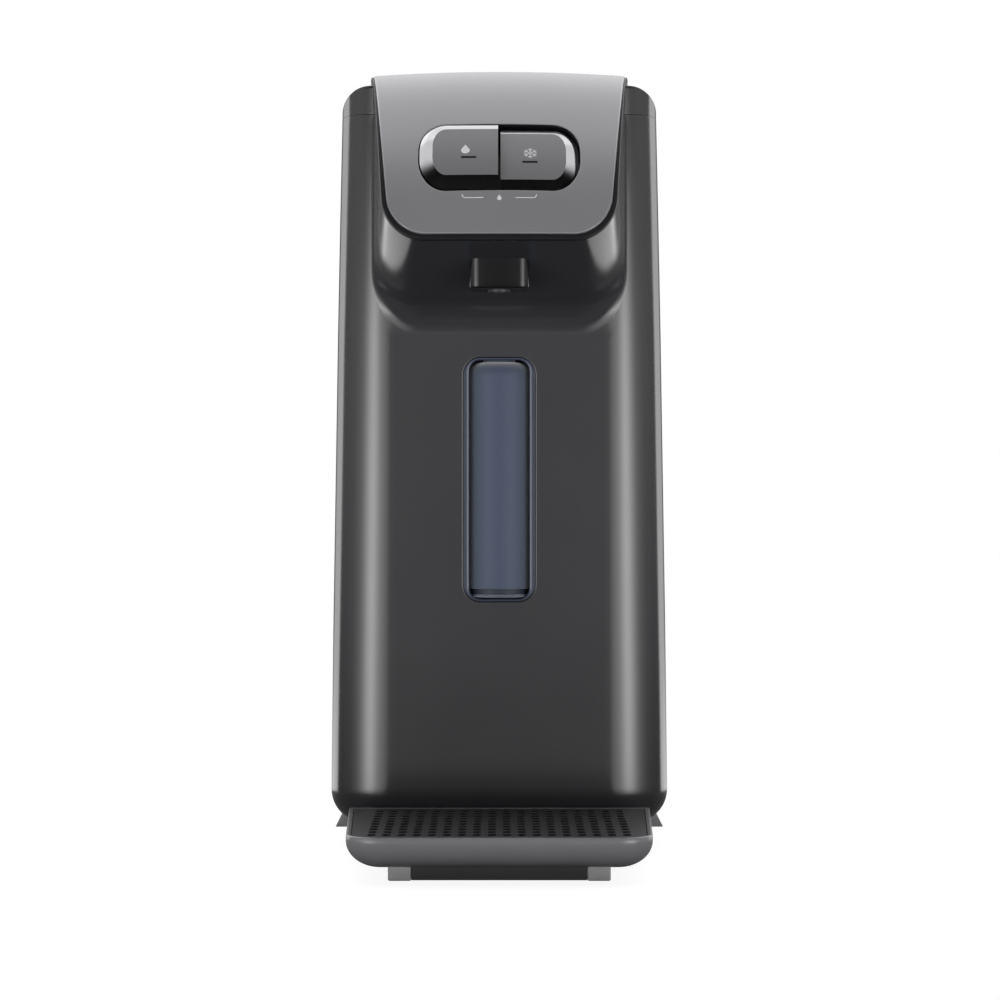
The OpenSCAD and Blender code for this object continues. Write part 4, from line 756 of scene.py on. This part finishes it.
# Filter
def cartridge():
    bm = bmesh.new()
    foot, top, r, neck, shoulder, groove = FILTER_FOOT, FILTER_TOP, FILTER_R, 8.0, 7.0, 1.2
    outline = [(0, foot), (r - 1.6, foot)]
    outline += [(x, foot + z) for x, z in arc(r - 1, 1.0, 1.0, 1.0, 270, 360, 5)]
    outline += [(r - groove, foot + 1.2), (r - groove, foot + 4.2), (r - 0.2, foot + 4.2), (r, foot + 4.4),
                (r, foot + 8), (r, top - 9)]
    outline += [(x, top - shoulder + z) for x, z in arc(r - shoulder, 0, shoulder, shoulder, 0, 90, 12)]
    outline += [(neck + 0.6, top), (neck, top + 0.6), (neck, top + 16.4), (neck - 0.6, top + 17), (0, top + 17)]
    turned(bm, outline, FILTER_Y, False, 96)
    piece(bm, "cartridge", [filter_blue], "filter", "filter", "filter_cartridge", sharp=40)


def pocket():
    """The filter's pocket: a rim inside the face's opening and a closed box behind it."""
    bm = bmesh.new()
    rows = [(POCKET_WALL, POCKET_WALL, POCKET_D), (POCKET_WALL, POCKET_WALL, OPENING_D), (-0.3, -0.3, OPENING_D),
            (-0.3, -0.3, RIM_BACK + 0.2), (-0.33, -0.33, RIM_BACK + 0.07), (-0.45, -0.45, RIM_BACK),
            (-0.6, -0.5, RIM_BACK), (-1.6, -0.58, RIM_BACK)]
    rows += [(RIM_STRETCH * x - RIM_SIDE, x - RIM_END, RIM_BACK + z)
             for x, z in arc(RIM_R, RIM_R, RIM_R, RIM_R, 270, 180, 10)]
    rows += [(-RIM_SIDE, -RIM_END, 2.2), (-RIM_SIDE, -RIM_END, OPENING_D), (0.0, 0.0, OPENING_D),
             (0.0, 0.0, POCKET_D - POCKET_WALL)]
    loft(bm, pocket_loops(rows), foot=True, top=True)
    piece(bm, "pocket", [pocket_navy], "housing", "pocket", "filter_pocket")


# Drip tray
def tray_ring(inset, z, back):
    """Outline of the tray, drawn in from its front and sides by inset and from its back by back."""
    y0, y1 = FRONT + inset, FACE - TRAY_GAP - back
    r, w0, w1 = max(TRAY_R - inset, 2.0), TRAY_W0 - inset, TRAY_W1 - inset
    points = arc(r - w0, y0 + r, r, r, 180 + TRAY_LEAN, 270, 16)
    points += [(BESIDE_SIDE + r - w0, y0), (w0 - r - BESIDE_SIDE, y0)]
    points += arc(w0 - r, y0 + r, r, r, 270, 360 - TRAY_LEAN, 16)
    x, y = points[-1]
    side = [(mix(x, w1, t), mix(y, y1, t)) for t in (0.05, 0.98, 1.0)]
    points += side + [(-px, py) for px, py in reversed(side)]
    return [(px, py, z) for px, py in points]


def tray():
    bm = bmesh.new()
    rows = [(TRAY_R, TRAY_FOOT, 0.0)]
    for t in quarter(12)[1:]:
        rows.append((TRAY_R * (1 - math.sin(t)), TRAY_FOOT + TRAY_BELLY * (1 - math.cos(t)), 0.0))
    rows.append((0.0, TRAY_TOP - 0.5, 0.0))
    inner = [(0.15, TRAY_TOP - 0.15), (0.5, TRAY_TOP), (TRAY_RIM - 0.5, TRAY_TOP), (TRAY_RIM - 0.15, TRAY_TOP - 0.15),
             (TRAY_RIM, TRAY_TOP - 0.5), (TRAY_RIM, TRAY_LEDGE), (TRAY_BASIN, TRAY_LEDGE), (TRAY_BASIN, TRAY_STEP),
             (TRAY_R, TRAY_STEP), (TRAY_R, TRAY_FLOOR)]
    rows += [(inset, z, inset) for inset, z in inner]
    loft(bm, [tray_ring(*row) for row in rows], foot=True, top=True)
    piece(bm, "tray", [tray_gloss], "drip_tray", "tray", "drip_tray")


# Feet
def block(bm, x0, x1, y0, y1, z0, z1, r):
    middle = Vector(((x0 + x1) / 2, (y0 + y1) / 2, (z0 + z1) / 2))
    size = Vector((x1 - x0, y1 - y0, z1 - z0))
    made = bmesh.ops.create_cube(bm, size=1, matrix=Matrix.LocRotScale(middle, None, size))
    rounded_edges(bm, list({e for v in made["verts"] for e in v.link_edges}), r)


def feet():
    bm = bmesh.new()
    for s in (-1, 1):
        x0, x1 = sorted((s * 41.1, s * 52.0))
        block(bm, x0, x1, FRONT + 19, FRONT + 55, 0.0, 6.7, 0.8)
    piece(bm, "front_feet_rubber", [foot_grey], "housing", "foot", "front_feet")
    bm = bmesh.new()
    wedge = [(60.4, 0.0), (88.4, 0.0), (83.8, 9.0), (60.4, 9.0)]
    for s in (-1, 1):
        loft(bm, [[(s * x, y, z) for x, z in wedge] for y in (FACE + 117, FACE + 157)], foot=True, top=True)
    rounded_edges(bm, bm.edges[:], 0.6)
    piece(bm, "rear_feet_rubber", [foot_grey], "housing", "foot", "rear_feet")


housing_shell()
lid()
cowl()
trim()
panel()
well()
key("left_key_cap", -1, 0.0, "left_key", "key", "left_key")
key("right_key_cap", 1, LATCH, "right_key", "key", "right_key")
prints()
spout()
cartridge()
pocket()
tray()
feet()

# Stage and light; the floor's radius is in metres
FLOOR_R, FLOOR_TONE, FLOOR_GLOW = 0.3, 0.2, 0.9
# Highest level on a ring of light
STRONG = 8.0


def floor_finish():
    """Pale floor that takes the shadow; its glow is for the eye alone and lights nothing."""
    m = bpy.data.materials.new("pale_floor")
    m.use_nodes = True
    n, link = m.node_tree.nodes, m.node_tree.links.new
    shader = n["Principled BSDF"]
    shader.inputs["Base Color"].default_value = (FLOOR_TONE, FLOOR_TONE, FLOOR_TONE, 1)
    shader.inputs["Roughness"].default_value = 0.9
    shader.inputs["Specular IOR Level"].default_value = 0.1
    path, glow, both = n.new("ShaderNodeLightPath"), n.new("ShaderNodeEmission"), n.new("ShaderNodeAddShader")
    level = n.new("ShaderNodeMath")
    level.operation = "MULTIPLY"
    level.inputs[1].default_value = FLOOR_GLOW
    link(path.outputs["Is Camera Ray"], level.inputs[0])
    link(level.outputs[0], glow.inputs["Strength"])
    link(shader.outputs[0], both.inputs[0])
    link(glow.outputs[0], both.inputs[1])
    link(both.outputs[0], n["Material Output"].inputs["Surface"])
    return m


def pale_floor():
    bm = bmesh.new()
    bmesh.ops.create_circle(bm, cap_ends=True, segments=96, radius=FLOOR_R)
    mesh = bpy.data.meshes.new("floor")
    bm.to_mesh(mesh)
    bm.free()
    made = bpy.data.objects.new("floor", mesh)
    scene.collection.objects.link(made)
    mesh.materials.append(floor_finish())


def studio():
    """Soft light all round: strips beside the front, dimmer sides, rims behind them, and a sky that dims forward."""
    world = bpy.data.worlds.new("studio")
    scene.world = world
    world.use_nodes = True
    n, link = world.node_tree.nodes, world.node_tree.links.new
    sky = n["Background"]
    sky.inputs["Color"].default_value = (1, 1, 1, 1)
    place, split = n.new("ShaderNodeTexCoord"), n.new("ShaderNodeSeparateXYZ")
    link(place.outputs["Generated"], split.inputs[0])
    x, y, z = split.outputs

    def calc(kind, total, *values):
        """Joins levels and numbers one after another by a kind of sum."""
        for value in values:
            node = n.new("ShaderNodeMath")
            node.operation = kind
            for socket, part in zip(node.inputs, (total, value)):
                if isinstance(part, (int, float)):
                    socket.default_value = part
                else:
                    link(part, socket)
            total = node.outputs[0]
        return total

    def times(*levels):
        return calc("MULTIPLY", *levels)

    def fade(value, a, b, at_a, at_b):
        """Level that runs from at_a to at_b while value runs from a to b."""
        node = n.new("ShaderNodeMapRange")
        link(value, node.inputs["Value"])
        for key, number in (("From Min", a), ("From Max", b), ("To Min", at_a), ("To Max", at_b)):
            node.inputs[key].default_value = number
        return node.outputs[0]

    turn = calc("DIVIDE", calc("ARCTAN2", calc("ABSOLUTE", x, 0), times(y, -1)), math.pi)

    def round_about(stops):
        """Level by the direction seen from above: 0 degrees in front, 180 behind."""
        node = n.new("ShaderNodeValToRGB")
        link(turn, node.inputs["Fac"])
        marks = node.color_ramp.elements
        while len(marks) < len(stops):
            marks.new(0.5)
        for mark, (degrees, level) in zip(marks, stops):
            mark.position = degrees / 180
            mark.color = (level / STRONG, level / STRONG, level / STRONG, 1)
        return times(node.outputs["Color"], STRONG)

    strips = round_about([(0, 0.0), (4, 0.1), (6, 0.8), (10, 1.8), (16, 2.5), (24, 3.7), (33, 6.6), (38, 7.7),
                          (45, 6.7), (52, 4.3), (60, 2.25), (68, 1.1), (82, 0.2), (100, 0.05), (120, 0.0), (180, 0.0)])
    sides = round_about([(0, 0.0), (62, 0.0), (78, 1.0), (92, 0.9), (104, 0.45), (119, 0.4), (123, 0.0), (180, 0.0)])
    rims = round_about([(0, 0.0), (122, 0.0), (125, 2.8), (138, 1.65), (150, 1.1), (155, 0.85), (158.5, 0.1),
                        (180, 0.1)])
    strips = times(strips, fade(z, 0.055, 0.12, 1.0, 0.05), fade(z, -0.55, -0.25, 0.0, 1.0),
                   fade(z, 0.2, 0.4, 1.0, 0.0), fade(z, -0.1, 0.0, 0.8, 1.0))
    sides = times(sides, fade(z, -0.1, 0.1, 0.1, 0.42))
    rims = times(rims, fade(z, 0.2, 0.7, 1.0, 0.25), fade(z, -0.17, -0.11, 0.0, 1.0))
    behind = times(fade(y, 0.5, 0.75, 0.0, 1.0), fade(z, -0.12, -0.04, 1.2, 0.0))
    high = calc("ADD", fade(y, -0.22, -0.04, 0.0, 0.75), fade(y, -0.04, 0.6, 0.0, 0.5), fade(y, 0.55, 0.95, 0.0, 0.75))
    high = times(high, fade(z, 0.1, 0.45, 0.0, 1.0))
    front = times(fade(y, -0.9, -0.5, 0.38, 0.3), fade(z, 0.13, 0.19, 1.0, 0.0), fade(z, -0.08, 0.03, 0.3, 1.0),
                  fade(y, 0.3, 0.6, 1.0, 0.0))
    foot = times(fade(y, -0.985, -0.95, 0.6, 0.0), fade(z, -0.112, -0.102, 1.0, 0.0), fade(z, -0.2, -0.16, 0.0, 1.0))
    light = calc("ADD", strips, rims, sides, behind, high, front, foot)
    path, seen = n.new("ShaderNodeLightPath"), n.new("ShaderNodeMix")
    link(path.outputs["Is Camera Ray"], seen.inputs["Factor"])
    link(light, seen.inputs["A"])
    seen.inputs["B"].default_value = 1.0
    link(seen.outputs["Result"], sky.inputs["Strength"])


pale_floor()
studio()
